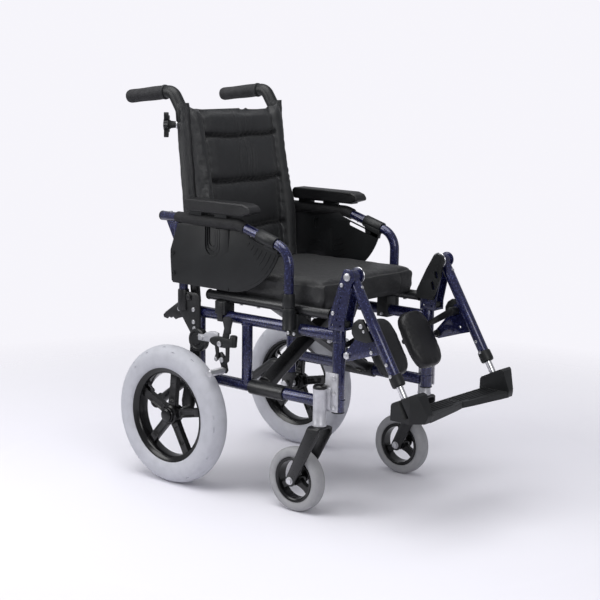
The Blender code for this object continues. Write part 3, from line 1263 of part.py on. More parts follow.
def footplate():
    """A level tread, swept back to its middle, with a raised outer block slotted round the stem."""
    foot = leg_point(stem_end(), 0.0, 0.0)
    inner = LEG_X - FOOT_BLOCK_WIDTH / 2
    outer = LEG_X + FOOT_BLOCK_WIDTH / 2
    raised_outline = [(FOOT_REAR, -FOOT_LOW), (FOOT_REAR - 0.001, FOOT_HIGH * 0.35),
                      (FOOT_REAR - 0.008, FOOT_HIGH * 0.50), (-0.014, FOOT_HIGH),
                      (-0.024, FOOT_HIGH - 0.003), (-FOOT_FRONT, -0.002), (-FOOT_FRONT + 0.004, -FOOT_LOW)]
    raised = plate(raised_outline[::-1], inner, outer)
    plan = [(FOOT_MIDDLE_GAP / 2, FOOT_TREAD_REAR), (FOOT_MIDDLE_GAP / 2, -FOOT_MIDDLE_FRONT),
            (inner + 0.004, -FOOT_FRONT + 0.002), (inner + 0.004, FOOT_REAR - 0.002),
            (inner - 0.010, FOOT_TREAD_REAR)]
    tread = sheet(plan[::-1], FOOT_PLATE, Matrix.Translation((0.0, 0.0, FOOT_PLATE / 2 - FOOT_LOW)))
    corner = block((outer - 0.001, -0.100, -0.100), (outer + 0.100, 0.060, 0.100))
    corner = bake(corner, Matrix.Translation((outer, -FOOT_FRONT * 0.30, 0.0))
                  @ Matrix.Rotation(math.radians(-42), 4, "Z") @ Matrix.Translation((-outer, 0.0, 0.0)))
    body = bake(cut(union(tread, raised), corner), Matrix.Translation(foot))
    half_slot = STEM_R + FOOT_SLOT_GAP
    slot = block((inner - 0.03, -half_slot, -half_slot), (outer + 0.03, half_slot, 0.08))
    pin_reach = FOOT_PIN_REACH + 0.001
    pin_hole = hole((LEG_X, -pin_reach, 0.0), (LEG_X, pin_reach, 0.0), FOOT_PIN_R + FIT, PIN_SIDES)
    return cut(body, bake(slot, foot_frame()), bake(pin_hole, foot_frame()))


# Materials

blue_paint = material("blue_paint", (0.035, 0.045, 0.22), 0.35, 0.6)
black_paint = material("black_paint", (0.02, 0.02, 0.022), 0.4, 0.3)
black_plastic = material("black_plastic", (0.03, 0.03, 0.032), 0.55, 0.0)
black_nylon = material("black_nylon", (0.02, 0.021, 0.023), 0.75, 0.0)
black_vinyl = material("black_vinyl", (0.03, 0.031, 0.034), 0.5, 0.0)
black_rubber = material("black_rubber", (0.035, 0.035, 0.037), 0.8, 0.0)
grey_tyre = material("grey_tyre", (0.50, 0.53, 0.58), 0.75, 0.0)
grey_caster = material("grey_caster", (0.34, 0.34, 0.36), 0.7, 0.0)
grey_alloy = material("grey_alloy", (0.62, 0.62, 0.66), 0.4, 0.8)
chrome = material("chrome", (0.75, 0.75, 0.78), 0.15, 1.0)


# Bodies that move, each hung from an empty on its joint's axis

chair = joint("chair", (0.0, 0.0, 0.0), None)
left_side = joint("left_side", (SIDE_X, 0.0, LOWER_Z), chair)
left_brace_body = joint("left_brace_body", (SIDE_X, BRACE_Y, LOWER_Z), left_side)
right_brace_body = joint("right_brace_body", (0.0, BRACE_Y, brace_centre_z()), left_brace_body)
right_side = joint("right_side", (-SIDE_X, BRACE_Y, LOWER_Z), right_brace_body)
seat_body = joint("seat_body", (SIDE_X, 0.0, RAIL_Z), left_side)
sides = (left_side, right_side)


def side_joints(name, x, y, z, parents):
    """A joint on the left side and its twin on the right."""
    return tuple(joint(side + "_" + name, (sign * x, y, z), parent)
                 for side, sign, parent in zip(("left", "right"), (1, -1), parents))


knee = leg_point(0.0)
stem_place = leg_point(stem_end())
rod_place = leg_point(CALF_ROD_ALONG, CALF_ROD_AHEAD)
lever_place = leg_point(LEVER_ALONG, LEVER_AHEAD)
rear_wheels = side_joints("rear_wheel", REAR_WHEEL_X, 0.0, REAR_TYRE_R, sides)
casters = side_joints("caster", CASTER_X, CASTER_Y, HOUSING_BOTTOM, sides)
caster_wheels = side_joints("caster_wheel", CASTER_X, CASTER_Y + CASTER_TRAIL, CASTER_R, casters)
backs = side_joints("back", CANE_X, RECLINE_Y, RECLINE_Z, sides)
knob_body = joint("knob", (-CANE_X, cane_y(KNOB_Z), KNOB_Z), backs[1])
armrests = side_joints("armrest", ARM_X, ARM_REAR_POST_Y, SOCKET_TOP, sides)
lock_levers = side_joints("lock_lever", lock_inner_x(), LOCK_BODY_Y, LOCK_BODY_Z, sides)
lock_arms = side_joints("lock_arm", lock_inner_x(), LOCK_ARM_Y, LOCK_ARM_Z, sides)
hangers = side_joints("hanger", SIDE_X, FRONT_POST_Y, UPPER_Z, sides)
legs = side_joints("leg", LEG_X, knee.y, knee.z, hangers)
releases = side_joints("release", LEG_X, lever_place.y, lever_place.z, legs)
calves = side_joints("calf", LEG_X, rod_place.y, rod_place.z, legs)
stems = side_joints("stem", LEG_X, stem_place.y, stem_place.z, legs)
feet = side_joints("foot", LEG_X, stem_place.y, stem_place.z, stems)

both_sides("side_frame", side_frame, blue_paint, sides)
both_sides("front_receiver", front_receiver, black_plastic, sides)
both_sides("rear_bracket", rear_bracket, black_paint, sides)
both_sides("rear_axle", rear_axle, grey_alloy, sides)
both_sides("rear_tyre", rear_tyre, grey_tyre, rear_wheels)
both_sides("rear_rim", rear_rim, black_plastic, rear_wheels)
both_sides("tipping_lever", tipping_lever, black_paint, sides)
both_sides("caster_housing", caster_housing, grey_alloy, sides)
both_sides("caster_fork", caster_fork, black_paint, casters)
both_sides("caster_tyre", caster_tyre, grey_caster, caster_wheels)
both_sides("caster_hub", caster_hub, black_plastic, caster_wheels)
both_sides("back_cane", back_cane, black_paint, backs)
both_sides("push_grip", push_grip, black_rubber, backs)
both_sides("armrest_frame", armrest_frame, blue_paint, armrests)
both_sides("side_panel", side_panel, black_plastic, armrests)
both_sides("armrest_pad", armrest_pad, black_vinyl, armrests)
both_sides("wheel_lock_body", wheel_lock_body, grey_alloy, sides)
both_sides("wheel_lock_lever", wheel_lock_lever, black_plastic, lock_levers)
both_sides("wheel_lock_arm", wheel_lock_arm, black_paint, lock_arms)
both_sides("legrest_hanger", legrest_hanger, blue_paint, hangers)
both_sides("knee_guard", knee_guard, black_plastic, hangers)
both_sides("legrest_tube", legrest_tube, blue_paint, legs)
both_sides("legrest_lever", legrest_lever, black_paint, releases)
both_sides("calf_pad", calf_pad, black_vinyl, calves)
both_sides("calf_bracket", calf_bracket, black_paint, calves)
both_sides("footrest_stem", footrest_stem, chrome, stems)
both_sides("footplate", footplate, black_plastic, feet)
settle(left_brace(), "left_brace", black_paint, left_brace_body)
settle(right_brace(), "right_brace", black_paint, right_brace_body)
settle(seat_cushion(), "seat_cushion", black_nylon, seat_body)
settle(back_upholstery(), "back_upholstery", black_nylon, backs[0])
knob = back_knob()
settle(mirrored(knob), "back_knob", black_plastic, knob_body)
bpy.data.objects.remove(knob, do_unlink=True)


# Put the middle of the chair's box over the origin

bpy.context.view_layer.update()
reach = [(item.matrix_world @ vertex.co).y for item in parts.objects if item.type == "MESH"
         for vertex in item.data.vertices]
chair.location.y -= (min(reach) + max(reach)) / 2
bpy.context.view_layer.update()
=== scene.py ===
"""The looks of a folding child's transit wheelchair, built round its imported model.

The chair faces -Y, +Z is up and +X is the sitter's left. Lengths are in metres.
Distances along the chair are given from the rear axle and turned into the frame by at().
The left side is modelled and its pieces are copied to the right side.
"""
import json
import math

import bmesh
import bpy
from mathutils import Matrix, Vector

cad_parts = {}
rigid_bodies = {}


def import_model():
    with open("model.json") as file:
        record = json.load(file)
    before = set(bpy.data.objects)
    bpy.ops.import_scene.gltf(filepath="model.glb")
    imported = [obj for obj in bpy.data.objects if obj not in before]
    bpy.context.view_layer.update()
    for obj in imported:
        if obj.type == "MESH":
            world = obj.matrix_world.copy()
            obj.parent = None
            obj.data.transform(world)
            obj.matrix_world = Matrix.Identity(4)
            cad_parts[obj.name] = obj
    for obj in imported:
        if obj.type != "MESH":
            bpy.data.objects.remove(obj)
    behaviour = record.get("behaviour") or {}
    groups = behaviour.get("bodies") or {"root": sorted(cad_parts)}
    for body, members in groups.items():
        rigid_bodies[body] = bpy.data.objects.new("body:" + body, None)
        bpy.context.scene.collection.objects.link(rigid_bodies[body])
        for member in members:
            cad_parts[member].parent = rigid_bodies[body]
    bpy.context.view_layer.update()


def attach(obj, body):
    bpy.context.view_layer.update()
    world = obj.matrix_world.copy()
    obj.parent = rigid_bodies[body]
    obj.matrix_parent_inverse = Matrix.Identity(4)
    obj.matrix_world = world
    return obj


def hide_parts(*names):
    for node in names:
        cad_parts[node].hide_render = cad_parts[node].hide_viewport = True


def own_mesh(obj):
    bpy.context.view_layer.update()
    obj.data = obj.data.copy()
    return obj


for item in list(bpy.data.objects):
    bpy.data.objects.remove(item, do_unlink=True)

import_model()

AXLE_Y = 0.22305


def at(x, y, z):
    """A point given from the rear axle along the chair."""
    return Vector((x, AXLE_Y + y, z))


# Shader nodes

class Value:
    """A shader socket on which + * and ** add Math nodes."""

    def __init__(self, nodes, socket):
        self.nodes = nodes
        self.socket = socket

    def math(self, operation, *values):
        return self.nodes.add("ShaderNodeMath", {"operation": operation, "use_clamp": False},
                              dict(enumerate(values)))

    def __add__(self, other):
        return self.math("ADD", self, other)

    def __radd__(self, other):
        return self.math("ADD", other, self)

    def __mul__(self, other):
        return self.math("MULTIPLY", self, other)

    def __rmul__(self, other):
        return self.math("MULTIPLY", other, self)

    def __pow__(self, other):
        return self.math("POWER", self, other)

    def sine(self):
        return self.math("SINE", self)

    def between(self, low, high, new_low=0.0, new_high=1.0):
        """Stretch the range low to high onto another one, clamped."""
        inputs = {"Value": self, "From Min": low, "From Max": high, "To Min": new_low, "To Max": new_high}
        return self.nodes.add("ShaderNodeMapRange", {"clamp": True}, inputs)


class Finish:
    """A procedural material: a Principled shader and the nodes that feed it."""

    def __init__(self, name, **plain):
        self.material = bpy.data.materials.new(name)
        self.material.use_nodes = True
        self.tree = self.material.node_tree
        self.shader = self.tree.nodes["Principled BSDF"]
        for key, value in plain.items():
            self.set(key.replace("_", " ").title().replace("Ior", "IOR"), value)

    def add(self, kind, settings, inputs, output=0):
        node = self.tree.nodes.new(kind)
        for key, value in settings.items():
            setattr(node, key, value)
        for key, value in inputs.items():
            self.feed(node.inputs[key], value)
        return Value(self, node.outputs[output])

    def feed(self, socket, value):
        if isinstance(value, Value):
            self.tree.links.new(value.socket, socket)
        elif socket.type == "RGBA" and len(value) == 3:
            socket.default_value = (*value, 1.0)
        else:
            socket.default_value = value

    def set(self, key, value):
        self.feed(self.shader.inputs[key], value)

    def place(self):
        """Object coordinates, in metres in the chair's frame."""
        return self.add("ShaderNodeTexCoord", {}, {}, "Object")

    def split(self, vector):
        node = self.tree.nodes.new("ShaderNodeSeparateXYZ")
        self.feed(node.inputs[0], vector)
        return tuple(Value(self, output) for output in node.outputs)

    def noise(self, scale, detail=3.0, roughness=0.5, vector=None):
        inputs = {"Vector": vector or self.place(), "Scale": scale, "Detail": detail, "Roughness": roughness}
        return self.add("ShaderNodeTexNoise", {}, inputs, "Fac")

    def cells(self, scale, output="Distance", feature="F1"):
        inputs = {"Vector": self.place(), "Scale": scale}
        return self.add("ShaderNodeTexVoronoi", {"feature": feature}, inputs, output)

    def mix(self, factor, first, second):
        """A colour between two colours."""
        node = self.tree.nodes.new("ShaderNodeMix")
        node.data_type = "RGBA"
        self.feed(node.inputs["Factor"], factor)
        for socket, value in zip((node.inputs[6], node.inputs[7]), (first, second)):
            self.feed(socket, value)
        return Value(self, node.outputs[2])

    def bump(self, height, distance, strength=1.0, normal=None):
        inputs = {"Height": height, "Distance": distance, "Strength": strength}
        if normal is not None:
            inputs["Normal"] = normal
        return self.add("ShaderNodeBump", {}, inputs, "Normal")

def metallic_blue():
    """Dark blue-violet powder coat with fine bright flakes under a clear coat."""
    paint = Finish("metallic_blue_coat", metallic=0.4, roughness=0.3, coat_weight=0.7, coat_roughness=0.08)
    flake = paint.cells(650.0, "Color")
    sparkle = paint.split(flake)[0].between(0.86, 0.98)
    cloud = paint.noise(35.0).between(0.3, 0.7)
    base = paint.mix(cloud, (0.004, 0.0048, 0.036), (0.0065, 0.0075, 0.052))
    paint.set("Base Color", paint.mix(sparkle * 0.7, base, (0.1, 0.12, 0.34)))
    paint.set("Roughness", paint.noise(120.0).between(0.3, 0.7, 0.24, 0.36))
    paint.set("Normal", paint.bump(paint.noise(700.0, 2.0), 0.00012))
    return paint.material


def satin_black():
    """Black powder coat with a fine orange-peel grain."""
    paint = Finish("satin_black_coat", metallic=0.0, specular_ior_level=0.5)
    cloud = paint.noise(60.0).between(0.3, 0.7)
    paint.set("Base Color", paint.mix(cloud, (0.0055, 0.0058, 0.0066), (0.01, 0.0102, 0.0115)))
    paint.set("Roughness", paint.noise(300.0).between(0.3, 0.7, 0.26, 0.38))
    paint.set("Normal", paint.bump(paint.noise(900.0, 2.0), 0.00015))
    return paint.material


def moulded_black(name, base, low, high, grain=0.0001):
    """Black moulded plastic with a spark-eroded grain."""
    mould = Finish(name, specular_ior_level=0.38)
    cloud = mould.noise(25.0).between(0.3, 0.7)
    mould.set("Base Color", mould.mix(cloud, [c * 0.8 for c in base], [c * 1.25 for c in base]))
    mould.set("Roughness", mould.noise(450.0).between(0.3, 0.7, low, high))
    mould.set("Normal", mould.bump(mould.noise(1300.0, 3.0), grain))
    return mould.material


def soft_rubber(name, base, dirt, grain=0.0002):
    """Moulded rubber, a little dusty, with a fine surface."""
    rubber = Finish(name, specular_ior_level=0.35)
    dust = rubber.noise(45.0, 4.0).between(0.42, 0.68)
    rubber.set("Base Color", rubber.mix(dust * 0.6, base, dirt))
    rubber.set("Roughness", rubber.noise(250.0).between(0.3, 0.7, 0.55, 0.72))
    rubber.set("Normal", rubber.bump(rubber.noise(800.0, 2.0), grain))
    return rubber.material


def plated(name, base, low, high):
    """Bright metal with faint drawing lines."""
    metal = Finish(name, metallic=1.0)
    stretched = metal.add("ShaderNodeMapping", {}, {"Vector": metal.place(), "Scale": (900.0, 900.0, 60.0)})
    lines = metal.noise(1.0, 2.0, 0.5, stretched)
    metal.set("Base Color", metal.mix(lines.between(0.35, 0.65), [c * 0.92 for c in base], base))
    metal.set("Roughness", lines.between(0.3, 0.7, low, high))
    metal.set("Normal", metal.bump(lines, 0.00003))
    return metal.material


def cast_silver():
    """Silver-painted cast alloy with a sandy grain."""
    cast = Finish("cast_silver_paint", metallic=0.55)
    cast.set("Base Color", cast.mix(cast.noise(80.0).between(0.3, 0.7), (0.46, 0.46, 0.49),
                                    (0.58, 0.58, 0.61)))
    cast.set("Roughness", cast.noise(260.0).between(0.3, 0.7, 0.34, 0.5))
    cast.set("Normal", cast.bump(cast.noise(1100.0, 3.0), 0.00012))
    return cast.material


def woven(name, base, thread, pitch, along="back"):
    """Coated nylon cloth: crossed threads at a real pitch, soft sheen and slight fading."""
    cloth = Finish(name, sheen_weight=0.1, sheen_roughness=0.4, specular_ior_level=0.55)
    x, y, z = cloth.split(cloth.place())
    if along == "back":
        across, up = x + y * 0.5, z
    else:
        across, up = x + z * 0.5, y + z * 0.5
    turns = math.tau / pitch
    warp = (across * turns).sine()
    weft = (up * turns).sine()
    threads = warp * weft
    fade = cloth.noise(14.0, 4.0).between(0.35, 0.7)
    colour = cloth.mix(fade, base, thread)
    cloth.set("Base Color", cloth.mix(threads.between(-1.0, 1.0) * 0.35, colour, [c * 1.9 for c in thread]))
    cloth.set("Roughness", cloth.noise(90.0).between(0.3, 0.7, 0.36, 0.48))
    fine = cloth.bump(threads, 0.00009)
    cloth.set("Normal", cloth.bump(cloth.noise(55.0, 3.0), 0.0006, 0.6, fine))
    return cloth.material


def grained_vinyl():
    """Black coated cloth with a leather grain."""
    vinyl = Finish("grained_black_vinyl", specular_ior_level=0.42)
    grain = vinyl.cells(650.0, "Distance", "DISTANCE_TO_EDGE").between(0.0, 0.12)
    wear = vinyl.noise(20.0, 4.0).between(0.4, 0.7)
    vinyl.set("Base Color", vinyl.mix(wear, (0.0055, 0.0055, 0.0064), (0.011, 0.011, 0.0124)))
    vinyl.set("Roughness", grain.between(0.0, 1.0, 0.46, 0.3))
    vinyl.set("Normal", vinyl.bump(grain, 0.00012))
    return vinyl.material


blue = metallic_blue()
black = satin_black()
plastic = moulded_black("grained_black_plastic", (0.0085, 0.0092, 0.01), 0.36, 0.5)
gloss_plastic = moulded_black("glossy_black_plastic", (0.005, 0.005, 0.0056), 0.14, 0.24, 0.00003)
grip_rubber = soft_rubber("black_grip_rubber", (0.016, 0.016, 0.018), (0.036, 0.036, 0.039))
foam_rubber = soft_rubber("black_foam_sleeve", (0.011, 0.011, 0.012), (0.02, 0.02, 0.022), 0.0006)
tyre_rubber = soft_rubber("pale_grey_tyre_rubber", (0.47, 0.475, 0.515), (0.4, 0.405, 0.44))
caster_rubber = soft_rubber("grey_caster_rubber", (0.31, 0.31, 0.32), (0.25, 0.25, 0.26))
bright = plated("bright_plated_steel", (0.74, 0.74, 0.76), 0.16, 0.26)
silver = cast_silver()
zinc = plated("zinc_plated_bolts", (0.66, 0.66, 0.68), 0.28, 0.4)
nylon = woven("black_woven_nylon", (0.0045, 0.005, 0.006), (0.007, 0.0076, 0.0088), 0.0009)
seat_nylon = woven("black_woven_seat_nylon", (0.0035, 0.0037, 0.0044), (0.0055, 0.0058, 0.0066), 0.0009,
                   "seat")
vinyl = grained_vinyl()


# Modelling tools, each worked with the operators of edit mode

def deselect():
    bpy.ops.object.select_all(action="DESELECT")


def begin():
    bpy.ops.object.mode_set(mode="EDIT")
    bpy.ops.mesh.select_all(action="SELECT")


def end():
    bpy.ops.object.mode_set(mode="OBJECT")
    return bpy.context.object


def face_out():
    bpy.ops.mesh.select_all(action="SELECT")
    bpy.ops.mesh.remove_doubles(threshold=0.000005)
    bpy.ops.mesh.normals_make_consistent(inside=False)


def extrude(step):
    bpy.ops.mesh.extrude_region_move(TRANSFORM_OT_translate={"value": tuple(step)})


def settle():
    """Move the place, turn and size of the active object into its mesh."""
    bpy.ops.object.transform_apply(location=True, rotation=True, scale=True)


def first_point(place):
    """Edit mode on a new mesh of one vertex."""
    deselect()
    bpy.ops.mesh.primitive_plane_add(size=0.01, location=place)
    settle()
    begin()
    bpy.ops.mesh.merge(type="CENTER")


def run_line(points):
    """Extrude the selected vertex from point to point."""
    for here, there in zip(points, points[1:]):
        extrude(Vector(there) - Vector(here))


def activate(piece):
    deselect()
    piece.select_set(True)
    bpy.context.view_layer.objects.active = piece


def modify(piece, kind, **settings):
    """Add a modifier and apply it."""
    activate(piece)
    modifier = piece.modifiers.new(kind.title(), kind)
    for key, value in settings.items():
        setattr(modifier, key, value)
    bpy.ops.object.modifier_apply(modifier=modifier.name)
    return piece


def bevel(piece, width, segments=2, angle=30):
    """Break the edges, where a width is given."""
    if not width:
        return piece
    return modify(piece, "BEVEL", width=width, segments=segments, limit_method="ANGLE",
                  angle_limit=math.radians(angle), harden_normals=False)


def subdivide(piece, levels=1):
    return modify(piece, "SUBSURF", levels=levels, render_levels=levels)


def shade(piece, angle=35):
    activate(piece)
    bpy.ops.object.shade_smooth_by_angle(angle=math.radians(angle))
    return piece


def coat(piece, finish):
    piece.data.materials.clear()
    piece.data.materials.append(finish)
    return piece


def plate(outline, inner, outer, edge=0.0006, plane="yz"):
    """A sheet part cut to an outline and thickened across, with broken edges."""
    if plane == "yz":
        points = [at(inner, y, z) for y, z in outline]
        step = Vector((outer - inner, 0.0, 0.0))
    elif plane == "xz":
        points = [at(x, inner, z) for x, z in outline]
        step = Vector((0.0, outer - inner, 0.0))
    else:
        points = [at(x, y, inner) for x, y in outline]
        step = Vector((0.0, 0.0, outer - inner))
    first_point(points[0])
    run_line(points)
    bpy.ops.mesh.select_all(action="SELECT")
    bpy.ops.mesh.edge_face_add()
    extrude(step)
    face_out()
    return shade(bevel(end(), edge))


def cube(size, place=(0, 0, 0)):
    deselect()
    bpy.ops.mesh.primitive_cube_add(size=1.0, location=place)
    piece = bpy.context.object
    piece.dimensions = size
    settle()
    return piece


def box(low, high, edge=0.0008, segments=2):
    """A block between two corners, given from the axle, with broken edges."""
    low, high = at(*low), at(*high)
    return shade(bevel(cube([abs(c) for c in high - low], (low + high) / 2), edge, segments))


def rod(start, stop, radius, sides=28, edge=0.0006, tip=None):
    """A round bar between two points of the frame."""
    deselect()
    start, stop = Vector(start), Vector(stop)
    turn = (stop - start).to_track_quat("Z", "Y").to_euler()
    bpy.ops.mesh.primitive_cone_add(vertices=sides, radius1=radius, radius2=radius if tip is None else tip,
                                    depth=(stop - start).length, location=(start + stop) / 2, rotation=turn)
    settle()
    return shade(bevel(bpy.context.object, edge))


def pipe(corners, radius, bend=0.03, sides=28, steps=8, edge=0.0008):
    """A bent tube: a round face extruded along the straights and spun round the bends."""
    points = [Vector(c) for c in corners]
    heading = (points[1] - points[0]).normalized()
    deselect()
    bpy.ops.mesh.primitive_circle_add(vertices=sides, radius=radius, fill_type="NGON", location=points[0],
                                      rotation=heading.to_track_quat("Z", "Y").to_euler())
    settle()
    begin()
    here = points[0]
    for corner, following in zip(points[1:], points[2:]):
        ahead = (following - corner).normalized()
        angle = heading.angle(ahead)
        if angle < 0.01:
            continue
        setback = bend * math.tan(angle / 2)
        tangent = corner - heading * setback
        extrude(tangent - here)
        axis = heading.cross(ahead).normalized()
        centre = tangent + axis.cross(heading) * bend
        bpy.ops.mesh.spin(steps=steps, angle=-angle, center=centre, axis=axis)
        here = corner + ahead * setback
        heading = ahead
    extrude(points[-1] - here)
    face_out()
    return shade(bevel(end(), edge))


def lathe(profile, centre, axis, steps=48, smooth=35, closed=False):
    """A turned part: a line of (radius, distance along the axis) spun once round it."""
    axis = Vector(axis).normalized()
    side = axis.orthogonal().normalized()
    centre = Vector(centre)
    points = [centre + side * radius + axis * along for radius, along in profile]
    if closed:
        points.append(points[0])
    first_point(points[0])
    run_line(points)
    bpy.ops.mesh.select_all(action="SELECT")
    bpy.ops.mesh.spin(steps=steps, angle=math.tau, center=centre, axis=axis)
    face_out()
    return shade(end(), smooth)


def hexagon(start, stop, across_flats, edge=0.0005):
    """A hexagon nut or bolt head between two points."""
    return rod(start, stop, across_flats / math.sqrt(3), 6, edge)


def cap_screw(centre, axis, radius, height):
    """A round bolt head, with a round socket in it where pick_faces finds its end face."""
    axis = Vector(axis).normalized()
    centre = Vector(centre)
    deselect()
    bpy.ops.mesh.primitive_cylinder_add(vertices=24, radius=radius, depth=height, location=centre + axis
                                        * height / 2, rotation=axis.to_track_quat("Z", "Y").to_euler())
    settle()
    begin()
    pick_faces(lambda place, normal: normal.dot(axis) > 0.9)
    bpy.ops.mesh.inset(thickness=radius * 0.42)
    extrude(-axis * height * 0.6)
    return shade(bevel(end(), radius * 0.1))


def pick_faces(test):
    """Select faces by centre and normal; one that fails takes its corners off those picked before it."""
    bpy.ops.mesh.select_all(action="DESELECT")
    mesh = bpy.context.object.data
    bm = bmesh.from_edit_mesh(mesh)
    for face in bm.faces:
        face.select_set(bool(test(face.calc_center_median(), face.normal)))
    bm.select_flush_mode()
    bmesh.update_edit_mesh(mesh)


def cut(piece, tool, operation="DIFFERENCE"):
    """Take a solid out of another, or unite the two, and remove it."""
    modify(piece, "BOOLEAN", object=tool, operation=operation, solver="EXACT")
    bpy.data.objects.remove(tool, do_unlink=True)


def drill(piece, *holes):
    """Cut round holes: each is (start, stop, radius)."""
    cut(piece, join([rod(*hole, 20, 0) for hole in holes]))
    return shade(piece)


def join(pieces):
    """One object from several that share a finish and a body."""
    activate(pieces[0])
    for piece in pieces:
        piece.select_set(True)
    if len(pieces) > 1:
        bpy.ops.object.join()
    return pieces[0]


def mirror_over(piece):
    """A copy on the other side of the chair, with its faces turned back outwards."""
    copy = piece.copy()
    copy.data = piece.data.copy()
    bpy.context.scene.collection.objects.link(copy)
    copy.data.transform(Matrix.Scale(-1, 4, (1, 0, 0)))
    copy.data.flip_normals()
    return copy


def mount(piece, name, body, finish, nodes=()):
    """Name a finished piece, give it its finish and hang it on its body."""
    piece.name = name
    piece.data.name = name
    coat(piece, finish)
    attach(piece, body)
    if nodes:
        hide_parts(*nodes)


def both(piece, name, body, finish, nodes=()):
    """The same for a left piece and its mirrored copy on the right."""
    for side, part in (("left_", piece), ("right_", mirror_over(piece))):
        mount(part, side + name, side + body, finish, [side + node for node in nodes])


def arc(centre, radius, start, stop, steps):
    points = []
    for index in range(steps + 1):
        angle = math.radians(start + (stop - start) * index / steps)
        points.append((centre[0] + radius * math.cos(angle), centre[1] + radius * math.sin(angle)))
    return points


# Side frames

SIDE_X = 0.159
TUBE = 0.0125
UPPER = 0.3875
LOWER = 0.24
REAR_POST = -0.026
MID_POST = -0.168
FRONT_POST = -0.425
RAIL_Z = 0.43


def weld(x, y, z, radius, axis=(0, 0, 1)):
    """A bead of weld round a tube where it meets another."""
    deselect()
    turn = Vector(axis).to_track_quat("Z", "Y").to_euler()
    bpy.ops.mesh.primitive_torus_add(major_segments=28, minor_segments=8, major_radius=radius,
                                     minor_radius=0.0016, location=at(x, y, z), rotation=turn)
    settle()
    return shade(bpy.context.object, 60)


def saddle(y):
    """The shallow cradle on the upper tube that the seat rail drops into."""
    trough = arc((SIDE_X, RAIL_Z), 0.0113, 216.5, 323.5, 10)
    outline = [(SIDE_X + 0.0155, 0.4205), (SIDE_X + 0.0155, 0.392), (SIDE_X - 0.0155, 0.392),
               (SIDE_X - 0.0155, 0.4205)] + trough
    return plate(outline, y - 0.015, y + 0.015, 0.0006, "xz")


def side_frame():
    upper = rod(at(SIDE_X, REAR_POST + TUBE, UPPER), at(SIDE_X, FRONT_POST, UPPER), TUBE, 32)
    lower = rod(at(SIDE_X, REAR_POST - 0.01, LOWER), at(SIDE_X, FRONT_POST + 0.01, LOWER), TUBE, 32)
    front = rod(at(SIDE_X, FRONT_POST, 0.225), at(SIDE_X, FRONT_POST, 0.4025), 0.0135, 32, 0.0012)
    middle = rod(at(SIDE_X, MID_POST, LOWER), at(SIDE_X, MID_POST, UPPER), 0.0118, 32)
    rear = rod(at(SIDE_X, REAR_POST, 0.195), at(SIDE_X, REAR_POST, UPPER), 0.0118, 32, 0.0012)
    drill(rear, *[(at(SIDE_X - 0.03, REAR_POST, z), at(SIDE_X + 0.03, REAR_POST, z), 0.0032)
                  for z in (0.204, 0.218)])
    posts = ((MID_POST, 0.0118), (REAR_POST, 0.0118), (FRONT_POST, 0.0135))
    beads = [weld(SIDE_X, y, z, radius) for y, radius in posts for z in (LOWER + 0.0115, UPPER - 0.0115)]
    both(join([upper, lower, front, middle, rear] + beads), "side_frame_tubes", "side", blue, ["side_frame"])
    caps = [rod(at(SIDE_X, FRONT_POST, 0.2235), at(SIDE_X, FRONT_POST, 0.2265), 0.0142, 28, 0.0012),
            rod(at(SIDE_X, REAR_POST, 0.1935), at(SIDE_X, REAR_POST, 0.1965), 0.0125, 28, 0.0012)]
    both(join(caps), "post_end_caps", "side", plastic)
    both(saddle(-0.1), "rear_rail_saddle", "side", plastic)


def front_receiver():
    body = box((SIDE_X - 0.0158, -0.323, UPPER - 0.0158), (SIDE_X + 0.0158, -0.293, 0.4207), 0.0016, 3)
    cut(body, rod(at(SIDE_X, -0.33, RAIL_Z), at(SIDE_X, -0.28, RAIL_Z), 0.0113, 32, 0))
    bridge = box((SIDE_X + 0.01, -0.318, 0.394), (ARM_X - 0.006, -0.298, 0.428), 0.002, 2)
    socket = lathe([(0.0108, 0.0), (0.0138, 0.0), (0.0138, 0.003), (0.0132, 0.004), (0.0132, 0.04),
                    (0.0142, 0.041), (0.0142, 0.046), (0.0136, 0.047), (0.0108, 0.047)],
                   at(ARM_X, ARM_FRONT, SOCKET_FOOT), (0, 0, 1), 36, 35, True)
    both(join([shade(body), bridge, socket]), "front_receiver_clamp", "side", plastic, ["front_receiver"])
    screws = [cap_screw(at(SIDE_X + 0.0157, y, z), (1, 0, 0), 0.0038, 0.0028) for y, z in ((-0.316, 0.379),
                                                                                           (-0.3, 0.379))]
    screws.append(cap_screw(at(SIDE_X - 0.0157, -0.308, 0.379), (-1, 0, 0), 0.0038, 0.0028))
    both(join(screws), "front_receiver_screws", "side", zinc)


ARM_X = 0.1855
ARM_FRONT = -0.308
ARM_REAR = 0.017
ARM_TOP = 0.598
POST_FOOT = 0.404
SOCKET_FOOT = 0.388
BRACKET_IN = 0.1718
BRACKET_OUT = 0.1768
REAR_SOCKET = (0.1735, 0.013)


